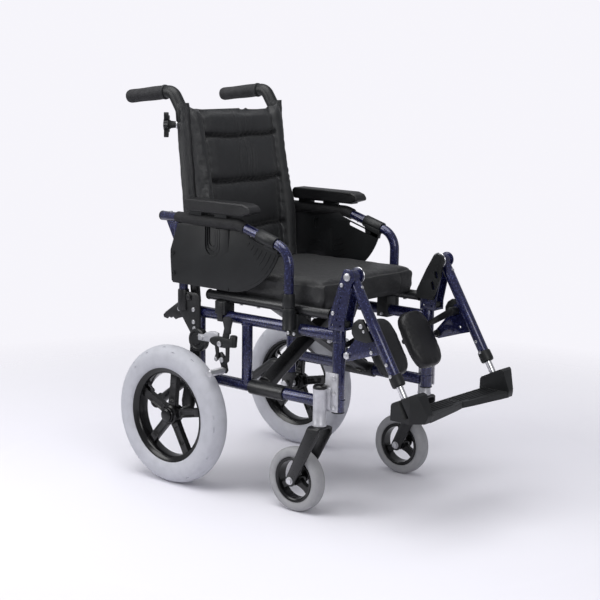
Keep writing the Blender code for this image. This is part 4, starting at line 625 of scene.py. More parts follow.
def rear_bracket():
    outline = [(0.027, 0.431), (0.027, 0.388), (-0.012, 0.338), (-0.01, 0.3), (0.016, 0.178), (0.012, 0.141),
               (-0.012, 0.141), (-0.018, 0.16), (-0.04, 0.23), (-0.04, 0.423), (-0.03, 0.431)]
    sheet = plate(outline, BRACKET_IN, BRACKET_OUT, 0.0009)
    boss = lathe([(0.0, 0.0), (0.026, 0.0), (0.026, 0.012), (0.0235, 0.0145), (0.02, 0.0145),
                  (0.018, 0.0125), (0.012, 0.0125), (0.01, 0.0148), (0.0, 0.0148)], at(0.1722, -0.04, 0.327),
                 (1, 0, 0), 48)
    socket = lathe([(0.0104, 0.0), (0.0124, 0.0), (0.0128, 0.001), (0.0128, 0.044), (0.0122, 0.047),
                    (0.0104, 0.047)], at(*REAR_SOCKET, SOCKET_FOOT), (0, 0, 1), 36, 35, True)
    both(join([sheet, boss, socket]), "rear_bracket_plate", "side", black, ["rear_bracket"])
    places = ((0.0225, 0.3895), (-0.0226, 0.393), (-0.0233, 0.365), (-0.0255, 0.3505), (-0.0265, 0.25))
    screws = [cap_screw(at(BRACKET_OUT - 0.0004, y, z), (1, 0, 0), 0.0048, 0.0034) for y, z in places]
    both(join(screws), "rear_bracket_screws", "side", zinc)


# Rear wheels

AXLE_Z = 0.1575
WHEEL_X = 0.221


def rear_tyre():
    """Grey tyre, with those dimples and stepped grooves whose faces pick_faces leaves selected."""
    steps = 216
    profile = [(0.1066, -0.018), (0.108, -0.0216), (0.113, -0.0246), (0.121, -0.0266), (0.129, -0.0268),
               (0.1332, -0.0265), (0.1362, -0.026), (0.1408, -0.0248), (0.1436, -0.0234), (0.1462, -0.0216),
               (0.1486, -0.0195), (0.151, -0.0171), (0.153, -0.0145), (0.1547, -0.0114), (0.1559, -0.0082),
               (0.1567, -0.005), (0.1571, -0.002)]
    profile += [(radius, -along) for radius, along in reversed(profile)]
    tyre = lathe(profile, at(WHEEL_X, 0, AXLE_Z), (1, 0, 0), steps, 50, True)
    centre = at(WHEEL_X, 0, AXLE_Z)

    def ring(place):
        return math.hypot(place.y - centre.y, place.z - centre.z)

    def turn(place):
        return int(math.atan2(place.z - centre.z, place.y - centre.y) / math.tau * steps) % steps

    def stepped(place, inner, middle, outer, value):
        """A band one row wide that steps out and back every two columns."""
        column = turn(place) % 4
        near = inner < value < middle
        far = middle < value < outer
        return (near and column != 2) or (far and column != 0)

    activate(tyre)
    begin()
    dimple_low, dimple_high, every = 0.1338, 0.1356, 3
    pick_faces(lambda place, normal: dimple_low < ring(place) < dimple_high and turn(place) % every == 0)
    bpy.ops.mesh.inset(thickness=0.0005, depth=-0.0022, use_individual=True)
    shoulder, tread_edge = (0.1436, 0.1462, 0.1486), (0.151, 0.153, 0.1547)
    for inner, middle, outer in (shoulder, tread_edge):
        pick_faces(lambda place, normal: stepped(place, inner, middle, outer, ring(place)))
        bpy.ops.mesh.inset(thickness=0.0007, depth=-0.0017)
    crown_half_width = 0.002
    pick_faces(lambda place, normal: abs(place.x - centre.x) < crown_half_width and turn(place) % 4 != 3)
    bpy.ops.mesh.inset(thickness=0.0007, depth=-0.0015)
    end()
    both(shade(tyre, 40), "rear_tyre_tread", "rear_wheel", tyre_rubber, ["rear_tyre"])


def rear_rim():
    hub = at(WHEEL_X, 0, AXLE_Z)
    ring = lathe([(0.106, -0.02), (0.1085, -0.0212), (0.109, -0.02), (0.1066, -0.0172), (0.1062, 0.0172),
                  (0.109, 0.02), (0.1085, 0.0212), (0.106, 0.02), (0.1, 0.0185), (0.0962, 0.015),
                  (0.0942, 0.01), (0.094, -0.01), (0.0962, -0.015), (0.1, -0.0185)], hub, (1, 0, 0), 96, 40,
                 True)
    core = lathe([(0.0065, 0.0), (0.0165, 0.0), (0.0178, 0.0018), (0.0182, 0.006), (0.0215, 0.0085),
                  (0.0222, 0.011), (0.0222, 0.029), (0.0215, 0.0315), (0.0182, 0.034), (0.0178, 0.0382),
                  (0.0165, 0.04), (0.0065, 0.04)], at(WHEEL_X - 0.02, 0, AXLE_Z), (1, 0, 0), 48, 35, True)
    spokes = []
    for index in range(5):
        angle = math.radians(6) + math.tau * index / 5
        spoke = cube((0.013, 0.02, 0.082))
        begin()
        bpy.ops.mesh.subdivide(number_cuts=5)
        pick_faces(lambda place,
                   normal: abs(normal.x) > 0.9 and abs(place.y) < 0.006 and abs(place.z) < 0.033)
        bpy.ops.mesh.inset(thickness=0.0006)
        bpy.ops.transform.shrink_fatten(value=-0.0028)
        end()
        for vertex in spoke.data.vertices:
            flare = 1.0 + 0.55 * max(0.0, abs(vertex.co.z) / 0.041 - 0.55) ** 1.5
            vertex.co.y *= flare
        bevel(spoke, 0.0016, 2, 50)
        place = Matrix.Translation(hub) @ Matrix.Rotation(angle, 4, "X") @ Matrix.Translation((0, 0, 0.059))
        spoke.data.transform(place)
        spokes.append(shade(spoke, 40))
    both(join([ring, core] + spokes), "rear_rim_casting", "rear_wheel", gloss_plastic, ["rear_rim"])
    valve = lathe([(0.0, 0.0), (0.0038, 0.0), (0.0038, 0.004), (0.0026, 0.005), (0.0026, 0.018),
                   (0.0036, 0.0185), (0.0036, 0.025), (0.0, 0.0265)], hub + Vector((0.004, 0.072, 0.061)),
                  (0.15, -0.763, -0.646), 20)
    both(valve, "rear_wheel_valve", "rear_wheel", grip_rubber)


def rear_axle():
    nut = hexagon(at(BRACKET_IN - 0.01, 0, AXLE_Z), at(BRACKET_IN - 0.0003, 0, AXLE_Z), 0.019)
    spacer = lathe([(0.0, -0.0005), (0.0105, -0.0005), (0.0105, 0.0178), (0.0092, 0.018), (0.0, 0.018)],
                   at(0.1775, 0, AXLE_Z), (1, 0, 0), 36)
    shank = rod(at(BRACKET_IN - 0.004, 0, AXLE_Z), at(0.2415, 0, AXLE_Z), 0.0059, 24)
    both(join([nut, spacer, shank]), "rear_axle_bolt", "side", zinc, ["rear_axle"])
    cap = lathe([(0.0, 0.0), (0.0142, 0.0), (0.0145, 0.0004), (0.0145, 0.0022), (0.0128, 0.0036),
                 (0.0075, 0.0044), (0.0, 0.0046)], at(0.2415, 0, AXLE_Z), (1, 0, 0), 40)
    both(cap, "rear_axle_cap", "side", gloss_plastic)


def tipping_lever():
    start = REAR_POST + 0.0121
    flange = box((SIDE_X - 0.0118, start, 0.196), (SIDE_X + 0.0118, start + 0.005, 0.228), 0.001)
    bar = pipe([at(SIDE_X, start + 0.003, 0.212), at(SIDE_X, start + 0.045, 0.212),
                at(SIDE_X, 0.104, 0.159)], 0.0105, 0.03)
    both(join([flange, bar]), "tipping_lever_bar", "side", black, ["tipping_lever"])
    tail = (at(SIDE_X, 0.12, 0.15) - at(SIDE_X, start + 0.045, 0.212)).normalized()
    ribs = [(0.0, 0.0), (0.0118, 0.0), (0.013, 0.0014)]
    for index in range(5):
        base = 0.003 + index * 0.005
        ribs += [(0.013, base), (0.013, base + 0.003), (0.0121, base + 0.0034), (0.0121, base + 0.0046)]
    ribs += [(0.013, 0.029), (0.0112, 0.0312), (0.0, 0.0318)]
    cap = lathe(ribs, at(SIDE_X, 0.12, 0.15) - tail * 0.03, tail, 36)
    both(cap, "tipping_lever_cap", "side", grip_rubber)


# Casters

CASTER_X = 0.189
SWIVEL_Y = -0.4
CASTER_AXLE_Y = -0.341
CASTER_Z = 0.07


def caster_housing():
    barrel = lathe([(0.0074, 0.0), (0.0145, 0.0), (0.0152, 0.0008), (0.0152, 0.006), (0.0144, 0.0072),
                    (0.0141, 0.036), (0.0146, 0.074), (0.0152, 0.0752), (0.0152, 0.08), (0.0, 0.08),
                    (0.0, 0.078), (0.0074, 0.078)], at(CASTER_X, SWIVEL_Y, 0.197), (0, 0, 1), 40, 35, True)
    flange = box((0.1729, FRONT_POST - 0.011, 0.228), (0.1774, SWIVEL_Y - 0.004, 0.311), 0.001)
    web = box((0.176, FRONT_POST + 0.004, 0.233), (0.183, SWIVEL_Y - 0.002, 0.279), 0.0012)
    both(join([barrel, flange, web]), "caster_housing_casting", "side", silver, ["caster_housing"])
    cap = lathe([(0.0, 0.0), (0.015, 0.0), (0.0154, 0.001), (0.015, 0.005), (0.012, 0.0078), (0.006, 0.0088),
                 (0.0, 0.009)], at(CASTER_X, SWIVEL_Y, 0.2772), (0, 0, 1), 40)
    both(cap, "caster_housing_cap", "side", gloss_plastic)
    screws = [cap_screw(at(0.1771, FRONT_POST - 0.003, z), (1, 0, 0), 0.0048, 0.0034)
              for z in (0.238, 0.268, 0.301)]
    both(join(screws), "caster_plate_screws", "side", zinc)


def caster_fork():
    top = 0.1965
    inner = 0.0195
    foot = arc((CASTER_AXLE_Y, CASTER_Z), 0.0128, -175, 5, 14)
    outline = [(SWIVEL_Y - 0.015, top - 0.004), (SWIVEL_Y - 0.015, top - 0.018)] + foot
    outline += [(SWIVEL_Y + 0.021, top - 0.018), (SWIVEL_Y + 0.015, top - 0.004)]
    bars = [plate(outline, CASTER_X + side * (inner + 0.0025) - 0.0025, CASTER_X + side * (inner + 0.0025)
                  + 0.0025, 0.0012) for side in (-1, 1)]
    crown_line = [(CASTER_X - inner - 0.005, top - 0.01), (CASTER_X - inner - 0.0035, top - 0.003),
                  (CASTER_X - inner + 0.002, top), (CASTER_X + inner - 0.002, top),
                  (CASTER_X + inner + 0.0035, top - 0.003), (CASTER_X + inner + 0.005, top - 0.01),
                  (CASTER_X + inner, top - 0.01), (CASTER_X + inner - 0.003, top - 0.0055),
                  (CASTER_X - inner + 0.003, top - 0.0055), (CASTER_X - inner, top - 0.01)]
    crown = plate(crown_line[::-1], SWIVEL_Y - 0.015, SWIVEL_Y + 0.015, 0.0008, "xz")
    stem = rod(at(CASTER_X, SWIVEL_Y, top - 0.004), at(CASTER_X, SWIVEL_Y, 0.27), 0.0065, 24)
    both(join(bars + [crown, stem]), "caster_fork_bars", "caster", black, ["caster_fork"])

    def spot(x):
        return at(CASTER_X + x, CASTER_AXLE_Y, CASTER_Z)

    bolts = [rod(spot(-0.027), spot(0.027), 0.0039, 20)]
    for side in (-1, 1):
        bolts.append(hexagon(spot(side * 0.0245), spot(side * 0.0292), 0.0125))
        bolts.append(rod(spot(side * 0.0244), spot(side * 0.0255), 0.0085, 28, 0.0002))
    both(join(bolts), "caster_axle_bolt", "caster", zinc)


def caster_wheel():
    hub = at(CASTER_X, CASTER_AXLE_Y, CASTER_Z)
    profile = [(0.0496, -0.0125), (0.052, -0.0146), (0.057, -0.0158), (0.062, -0.0156), (0.066, -0.0138),
               (0.0686, -0.0102), (0.0697, -0.0052), (0.0699, 0.0)]
    profile += [(radius, -along) for radius, along in reversed(profile[:-1])]
    tyre = lathe(profile, hub, (1, 0, 0), 72, 50, True)
    both(tyre, "caster_tyre_tread", "caster_wheel", caster_rubber, ["caster_tyre"])
    ring = lathe([(0.0494, -0.0128), (0.0494, 0.0128), (0.0476, 0.014), (0.044, 0.0134), (0.0418, 0.0118),
                  (0.0414, 0.0), (0.0418, -0.0118), (0.044, -0.0134), (0.0476, -0.014)], hub, (1, 0, 0), 72,
                 40, True)
    core = lathe([(0.0046, -0.0188), (0.01, -0.0188), (0.0112, -0.018), (0.0122, -0.013), (0.013, -0.011),
                  (0.013, 0.011), (0.0122, 0.013), (0.0112, 0.018), (0.01, 0.0188), (0.0046, 0.0188)], hub,
                 (1, 0, 0), 40, 35, True)
    spokes = []
    for index in range(3):
        spoke = cube((0.014, 0.017, 0.036))
        begin()
        bpy.ops.mesh.subdivide(number_cuts=4)
        end()
        for vertex in spoke.data.vertices:
            share = vertex.co.z / 0.018
            vertex.co.y *= 0.86 + 0.3 * abs(share) ** 2
            vertex.co.x *= 0.8 + 0.2 * abs(share)
        bevel(spoke, 0.0022, 3, 50)
        place = Matrix.Translation(hub) @ Matrix.Rotation(math.tau * index / 3, 4, "X")
        spoke.data.transform(place @ Matrix.Translation((0, 0, 0.026)))
        spokes.append(shade(spoke, 45))
    both(join([ring, core] + spokes), "caster_hub_casting", "caster_wheel", gloss_plastic, ["caster_hub"])


# Backrest

CANE_X = 0.1555
CANE_LEAN = math.radians(6.2)
RECLINE = (-0.008, 0.42)


def cane_y(z):
    return RECLINE[0] + math.tan(CANE_LEAN) * (z - RECLINE[1])


def grip_z(y):
    return 0.8715 - math.tan(math.radians(6.7)) * (y - 0.085)


def on_back(x, height, ahead):
    """A point of the leaning back: metres up from its lower edge, and ahead of the canes' axes."""
    up = Vector((0.0, math.sin(CANE_LEAN), math.cos(CANE_LEAN)))
    front = Vector((0.0, -math.cos(CANE_LEAN), math.sin(CANE_LEAN)))
    return at(x, RECLINE[0], RECLINE[1]) + up * (0.036 + height) + front * ahead


def back_cane():
    bend = [at(CANE_X, cane_y(0.834), 0.834), at(CANE_X, 0.064, grip_z(0.064))]
    tube = pipe([at(CANE_X, cane_y(0.4056), 0.4056)] + bend + [at(CANE_X, 0.195, grip_z(0.195))], 0.011,
                0.024, 32, 8)
    bush = rod(at(CANE_X, *RECLINE), at(0.1715, *RECLINE), 0.008, 28)
    both(join([tube, bush]), "back_cane_tube", "back", black, ["back_cane"])
    cover = pipe([at(CANE_X, cane_y(0.806), 0.806)] + bend + [at(CANE_X, 0.084, grip_z(0.084))], 0.0142,
                 0.026, 32, 8, 0.0018)
    both(cover, "handle_bend_cover", "back", plastic)
    head = hexagon(at(0.1771, *RECLINE), at(0.1816, *RECLINE), 0.0136)
    washer = rod(at(0.1769, *RECLINE), at(0.1776, *RECLINE), 0.0085, 28, 0.0001)
    both(join([head, washer]), "back_pivot_bolt", "back", black)


def push_grip():
    start = at(CANE_X, 0.085, grip_z(0.085))
    axis = (at(CANE_X, 0.206, grip_z(0.206)) - start).normalized()
    profile = [(0.0112, 0.0), (0.015, 0.0), (0.0164, 0.0012), (0.0168, 0.004), (0.0162, 0.0068),
               (0.0152, 0.0082)]
    for index in range(21):
        base = 0.01 + index * 0.0046
        swell = 0.0004 * math.sin(math.pi * index / 10)
        profile += [(0.0155 + swell, base), (0.0155 + swell, base + 0.003), (0.01515 + swell, base + 0.0034),
                    (0.01515 + swell, base + 0.0042)]
    profile += [(0.0155, 0.108), (0.0154, 0.113), (0.014, 0.118), (0.0105, 0.1208), (0.005, 0.1217),
                (0.0, 0.1218), (0.0, 0.112), (0.0112, 0.112)]
    both(lathe(profile, start, axis, 48, 50, True), "push_grip_rubber", "back", grip_rubber, ["push_grip"])


def star_knob():
    """The clamp knob behind the right cane, with five tapering lobes round a hub."""
    centre = at(-CANE_X, cane_y(0.801), 0.801)
    away = Vector((-math.sin(math.radians(40)), math.cos(math.radians(40)), 0.0))
    side = away.orthogonal().normalized()
    up = away.cross(side)

    def spot(radius, angle, along):
        return centre + away * along + side * radius * math.cos(angle) + up * radius * math.sin(angle)

    outline = []
    for index in range(60):
        angle = math.tau * index / 60
        outline.append(spot(0.019 + 0.0105 * math.cos(5 * angle), angle, 0.031))
    first_point(outline[0])
    run_line(outline)
    bpy.ops.mesh.select_all(action="SELECT")
    bpy.ops.mesh.edge_face_add()
    extrude(away * 0.0105)
    face_out()
    star = bevel(end(), 0.003, 4, 40)
    hub = lathe([(0.0, 0.01), (0.0068, 0.01), (0.0072, 0.016), (0.0085, 0.026), (0.013, 0.032),
                 (0.013, 0.04), (0.012, 0.0425), (0.006, 0.0434), (0.0, 0.0434)], centre, away, 40)
    mount(join([shade(star, 40), hub]), "back_clamp_knob", "knob", plastic, ["back_knob"])
    collar = lathe([(0.0042, 0.0), (0.0085, 0.0), (0.009, 0.0006), (0.009, 0.0032), (0.0042, 0.0036)],
                   centre + away * 0.0115, away, 32, 35, True)
    mount(collar, "back_clamp_washer", "knob", zinc)


# Soft goods

def loft(rings):
    """A closed skin through rings of points, capped at both ends."""
    bm = bmesh.new()
    rows = [[bm.verts.new(point) for point in ring] for ring in rings]
    for near, far in zip(rows, rows[1:]):
        for index in range(len(near)):
            following = (index + 1) % len(near)
            bm.faces.new((near[index], near[following], far[following], far[index]))
    bm.faces.new(rows[0])
    bm.faces.new(rows[-1])
    bmesh.ops.recalc_face_normals(bm, faces=bm.faces)
    mesh = bpy.data.meshes.new("skin")
    bm.to_mesh(mesh)
    bm.free()
    piece = bpy.data.objects.new("skin", mesh)
    bpy.context.scene.collection.objects.link(piece)
    return piece


def plump(piece, grain, pressure, limit, frames=20):
    """Stuff a skin: remesh it evenly, blow it up as cloth and hold each point within a limit."""
    modify(piece, "REMESH", mode="VOXEL", voxel_size=grain)
    rest = [vertex.co.copy() for vertex in piece.data.vertices]
    activate(piece)
    cloth = piece.modifiers.new("Cloth", "CLOTH")
    cloth.settings.quality = 5
    cloth.settings.mass = 0.3
    cloth.settings.tension_stiffness = 12.0
    cloth.settings.compression_stiffness = 12.0
    cloth.settings.bending_stiffness = 1.5
    cloth.settings.use_pressure = True
    cloth.settings.uniform_pressure_force = pressure
    cloth.settings.effector_weights.gravity = 0.0
    cloth.collision_settings.use_collision = False
    cloth.point_cache.frame_start = 1
    cloth.point_cache.frame_end = frames
    for number in range(1, frames + 1):
        bpy.context.scene.frame_set(number)
    blown = piece.evaluated_get(bpy.context.evaluated_depsgraph_get()).data
    places = [vertex.co.copy() for vertex in blown.vertices]
    bpy.ops.object.modifier_apply(modifier=cloth.name)
    bpy.context.scene.frame_set(1)
    for vertex, old, new in zip(piece.data.vertices, rest, places):
        move = new - old
        if move.length > limit:
            move *= limit / move.length
        vertex.co = old + move
    return subdivide(piece)


def ripple(value, centre, width):
    return math.exp(-((value - centre) / width) ** 2)


BACK_SEAMS = (0.11, 0.216, 0.319)
BACK_TALL = 0.392


def back_half(share):
    return 0.1605 + 0.0015 * min(1.0, max(0.0, (share - 0.4) / 0.6))


def back_cushion():
    """The padded back: two side bolsters and a middle panel with three sewn channels."""
    rings = []
    heights = [0.0, 0.004, 0.01, 0.02] + [0.04 + 0.0195 * step for step in range(17)] + [0.372, 0.382, 0.388,
                                                                                         0.392]
    for height in heights:
        share = height / BACK_TALL
        thinning = min(1.0, max(0.0, (share - 0.4) / 0.6))
        half = back_half(share)
        end_fill = min(1.0, min(height, BACK_TALL - height) / 0.02)
        fill = 0.42 + 0.58 * math.sqrt(max(0.0, end_fill))
        bolster = (0.037 - 0.024 * thinning) * fill
        panel = min(0.0225 * fill, bolster * 0.75)
        inner = half - 0.046
        front = [(half - 0.003, 0.003), (half, bolster * 0.38), (half - 0.004, bolster * 0.78),
                 (half - 0.014, bolster * 0.97), (half - 0.024, bolster), (half - 0.034, bolster * 0.94),
                 (inner + 0.003, bolster * 0.8), (inner - 0.004, panel * 0.86), (inner - 0.02, panel)]
        front += [(x * inner, panel * 1.05) for x in (0.6, 0.3, 0.0)]
        front += [(-x, depth) for x, depth in reversed(front[:-1])]
        rear = [(-half + 0.01, 0.0)] + [(half * x, 0.0) for x in (-0.7, -0.35, 0.0, 0.35, 0.7)] + [(half
                                                                                                    - 0.01,
                                                                                                    0.0)]
        ring = []
        for x, depth in front + rear:
            sag = 0.018 * share ** 3 * (1 - (x / half) ** 2)
            ring.append(on_back(x, height - sag, 0.0123 + depth))
        rings.append(ring)
    cushion = plump(loft(rings), 0.005, 3.2, 0.006)
    cloth_back = 0.012
    origin = on_back(0.0, 0.0, 0.0)
    up = (on_back(0.0, 1.0, 0.0) - origin).normalized()
    front = (on_back(0.0, 0.0, 1.0) - origin).normalized()
    for vertex in cushion.data.vertices:
        offset = vertex.co - origin
        x, height, ahead = offset.x, offset.dot(up), offset.dot(front)
        share = max(0.0, min(1.0, height / BACK_TALL))
        edge = back_half(share) - 0.0465
        if ahead < cloth_back:
            vertex.co += front * (cloth_back - ahead)
            continue
        depth = min(1.0, (ahead - cloth_back) / 0.014)
        across = abs(x)
        panel = 1.0 if across < edge else max(0.0, 1.0 - (across - edge) / 0.006)
        pull = 0.0
        pucker = 1.0 + 0.16 * math.sin(x * 430.0) + 0.1 * math.sin(x * 1130.0 + height * 90.0)
        for seam in BACK_SEAMS:
            line = seam - 0.0035 * (1 - (x / edge) ** 2) + 0.0011 * math.sin(x * 52.0 + seam * 40.0)
            pull += panel * (0.0085 * ripple(height, line, 0.0042) + 0.0036 * pucker
                             * ripple(height, line, 0.0105))
        groove = 0.0052 * ripple(across, edge + 0.0012, 0.0045) + 0.0016 * ripple(across, edge - 0.006,
                                                                                  0.012)
        pull += groove * (1.0 + 0.12 * math.sin(height * 260.0))
        billow = 0.0
        for low, high in zip((0.0,) + BACK_SEAMS, BACK_SEAMS + (BACK_TALL,)):
            if low <= height < high:
                middle = (height - low) / (high - low)
                billow = math.sin(math.pi * middle) ** 0.7
        pull -= panel * billow * 0.003 * (1 - (x / edge) ** 4 if across < edge else 0.0)
        creases = ((-0.02, 0.16, 0.0045, 0.3), (0.004, -0.1, 0.0038, 0.45), (0.021, 0.05, 0.0042, -0.25))
        for middle, lean, width, phase in creases:
            wander = middle + lean * (height - 0.25) * 0.12 + 0.0022 * math.sin(height * 60.0 + phase * 9.0)
            strength = panel * ripple(height, 0.262 + phase * 0.02, 0.052) + panel * 0.6 * ripple(height,
                                                                                                  0.355,
                                                                                                  0.026)
            pull += 0.0015 * strength * (ripple(x, wander, width) - 0.8 * ripple(x, wander + 0.008, width))
        side = 1.0 if x > 0 else 0.45
        for place, tilt, size in ((0.205, 0.5, 0.0021), (0.222, -0.4, 0.0024), (0.236, 0.3, 0.0017),
                                  (0.052, 0.4, 0.0012), (0.075, -0.5, 0.001), (0.3, 0.6, 0.0008)):
            line = place + tilt * (across - 0.14)
            pull += side * size * ripple(height, line, 0.0042) * ripple(across, 0.143, 0.014)
        pull += 0.0007 * math.sin(x * 61.0 + height * 23.0) * math.sin(height * 47.0 - x * 31.0)
        vertex.co -= front * pull * depth
    cushion = shade(cushion, 60)
    mount(cushion, "back_padded_cover", "left_back", nylon, ["back_upholstery"])
    tuple(at(CANE_X, 0.0, 0.6))
    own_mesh(cushion)


def back_sleeve():
    """The nylon pocket that wraps the cane, sewn to the edge of the padded back."""
    rings = []
    for step in range(41):
        height = -0.004 + 0.398 * step / 40
        share = max(0.0, height / BACK_TALL)
        ring = []
        for index in range(28):
            angle = math.tau * index / 28
            wave = 0.00035 * math.sin(height * 95.0 + angle * 2.0) + 0.00025 * math.sin(height * 233.0
                                                                                        - angle * 3.0)
            reach = 0.0126 + wave
            x = CANE_X + reach * math.cos(angle)
            ahead = reach * math.sin(angle)
            if ahead > 0.004:
                ahead = 0.004 + (ahead - 0.004) * 2.1
            if math.cos(angle) > 0:
                x += 0.0012 * share
            ring.append(on_back(x, height, ahead))
        rings.append(ring)
    sleeve = loft(rings)
    inner = pipe([on_back(CANE_X, -0.02, 0.0), on_back(CANE_X, 0.42, 0.0)], 0.0112, sides=24, edge=0)
    cut(sleeve, inner)
    both(shade(sleeve, 50), "back_cane_pocket", "back", nylon)


def seat_cushion():
    """A boxed seat cushion: flat below, crowned on top, with corded seams and drawn-in sides."""
    rear, front = -0.061, -0.3835
    long = rear - front
    base, thick, top = 0.4415, 0.0485, 0.4915
    lower_edge, flat_below, skirt = 0.446, 0.4417, 0.014
    shares = [0.0, 0.008, 0.02, 0.04, 0.07, 0.11] + [0.16 + 0.068 * step for step in range(11)]
    shares += [0.89, 0.93, 0.96, 0.98, 0.992, 1.0]
    rings = []
    for share in shares:
        y = front + share * long
        edge = min(1.0, min(y - front, rear - y) / 0.016)
        round_off = math.sqrt(max(0.0, 1 - (1 - edge) ** 2))
        middle = math.sin(math.pi * share)
        half = 0.1615 + 0.005 * (1 - share) - 0.006 * (1 - round_off) - 0.0024 * middle
        tall = thick * (0.8 + 0.2 * round_off)
        low = base + (thick - tall) * 0.45
        points = [(0.95, 0.0), (0.985, 0.05), (1.0, 0.18), (0.988, 0.45), (0.99, 0.62), (1.0, 0.84),
                  (0.985, 0.96), (0.95, 1.0), (0.85, 1.02), (0.66, 1.03), (0.45, 1.035), (0.22, 1.04),
                  (0.0, 1.04)]
        ring = [(x * half, low + z * tall + 0.004 * (1 - x * x) * middle) for x, z in points]
        ring += [(-x, z) for x, z in reversed(ring[:-1])]
        ring += [(x * half, low) for x in (-0.6, -0.3, 0.0, 0.3, 0.6)]
        rings.append([at(x, y, z) for x, z in ring])
    cushion = plump(loft(rings), 0.005, 3.0, 0.0045)
    for vertex in cushion.data.vertices:
        x, y, z = vertex.co.x, vertex.co.y - AXLE_Y, vertex.co.z
        across = abs(x)
        middle = max(0.0, math.sin(math.pi * min(1.0, max(0.0, (y - front) / long))))
        half = 0.164 + 0.005 * (rear - y) / long
        rim = min((half - across), (y - front + 0.002), (rear + 0.002 - y))
        if z < lower_edge:
            vertex.co.z = flat_below if rim > skirt else min(z, 0.4405) - 0.0022
            continue
        if z > top - 0.01:
            vertex.co.z -= 0.0026 * ripple(rim, 0.0105, 0.0028) - 0.0013 * ripple(rim, 0.0062, 0.002)
            vertex.co.z -= 0.0009 * ripple(rim, 0.022, 0.012) * (0.5 + 0.5 * math.sin(x * 130.0 + y * 117.0))
            vertex.co.z += 0.0006 * math.sin(x * 38.0 + 1.0) * math.sin(y * 33.0) * middle
        else:
            height = (z - base) / thick
            side = half - across < 0.012
            wrinkle = 0.0008 * math.sin((y if side else x) * 95.0 + height * 3.0) * math.sin(math.pi
                                                                                             * height)
            if side:
                vertex.co.x -= math.copysign(wrinkle, x)
            elif y - front < 0.012:
                vertex.co.y += wrinkle + 0.001 * ripple(abs(abs(x) - 0.113), 0.0, 0.0016)
    cushion = shade(cushion, 60)
    mount(cushion, "seat_padded_cover", "seat_body", seat_nylon, ["seat_cushion"])
    tuple(at(SIDE_X, -0.2, 0.46))
    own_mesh(cushion)


# Seat rails and the scissor legs

BRACE_Y = -0.232
BRACE_Z = 0.335


def brace_leg(front):
    """One leg with its hinge sleeve at the left lower tube and its rail at the right."""
    shift = 0.02 * (-1 if front else 1)
    y = BRACE_Y + shift
    foot = at(SIDE_X, y, LOWER)
    head = at(-SIDE_X, y, RAIL_Z)
    length = (head - foot).length
    bar = cube((0.0355, 0.0215, length))
    bevel(bar, 0.0042, 4)
    turn = (head - foot).to_track_quat("Z", "Y").to_matrix().to_4x4()
    bar.data.transform(Matrix.Translation((foot + head) / 2) @ turn)
    sleeve = lathe([(0.013, 0.0), (0.016, 0.0), (0.0165, 0.0006), (0.0165, 0.0964), (0.016, 0.097),
                    (0.013, 0.097)], at(SIDE_X, BRACE_Y - 0.0485, LOWER), (0, 1, 0), 40, 35, True)
    rail = rod(at(-SIDE_X, -0.4, RAIL_Z), at(-SIDE_X, -0.056, RAIL_Z), 0.011, 36, 0.0012)
    foot_bead = rod(foot + (head - foot).normalized() * 0.016, foot + (head - foot).normalized() * 0.021,
                    0.0185, 28, 0.0016)
    bore = rod(at(SIDE_X, BRACE_Y - 0.06, LOWER), at(SIDE_X, BRACE_Y + 0.06, LOWER), 0.013, 36, 0)
    cut(bar, bore)
    return join([shade(bar), sleeve, rail, foot_bead])


def scissor():
    mount(brace_leg(True), "left_brace_leg", "left_brace_body", black, ["left_brace"])
    rear = brace_leg(False)
    right = mirror_over(rear)
    bpy.data.objects.remove(rear, do_unlink=True)
    mount(right, "right_brace_leg", "right_brace_body", black, ["right_brace"])
    front_y = BRACE_Y - 0.0375
    rear_y = BRACE_Y + 0.0385
    nut = hexagon(at(0, rear_y, BRACE_Z), at(0, rear_y + 0.0055, BRACE_Z), 0.0165)
    head = cap_screw(at(0, front_y, BRACE_Z), (0, -1, 0), 0.0092, 0.005)
    shank = rod(at(0, front_y, BRACE_Z), at(0, rear_y + 0.001, BRACE_Z), 0.0049, 20)
    washer = rod(at(0, rear_y - 0.0006, BRACE_Z), at(0, rear_y + 0.0006, BRACE_Z), 0.011, 28, 0.0001)
    mount(join([nut, head, shank, washer]), "scissor_centre_bolt", "left_brace_body", zinc)
    for side, sign, body in (("left", 1, "right_brace_body"), ("right", -1, "left_brace_body")):
        ends = [lathe([(0.0, 0.0), (0.0116, 0.0), (0.012, 0.0008), (0.0116, 0.003), (0.008, 0.0042),
                       (0.0, 0.0046)], at(sign * SIDE_X, y, RAIL_Z), (0, way, 0), 32)
                for y, way in ((-0.4, -1), (-0.056, 1))]
        mount(join(ends), side + "_rail_end_plugs", body, plastic)
        screws = [cap_screw(at(sign * SIDE_X, y, RAIL_Z - 0.0109), (0, 0, -1), 0.004, 0.0022)
                  for y in (-0.36, -0.2, -0.15)]
        mount(join(screws), side + "_rail_screws", body, zinc)


# Armrests

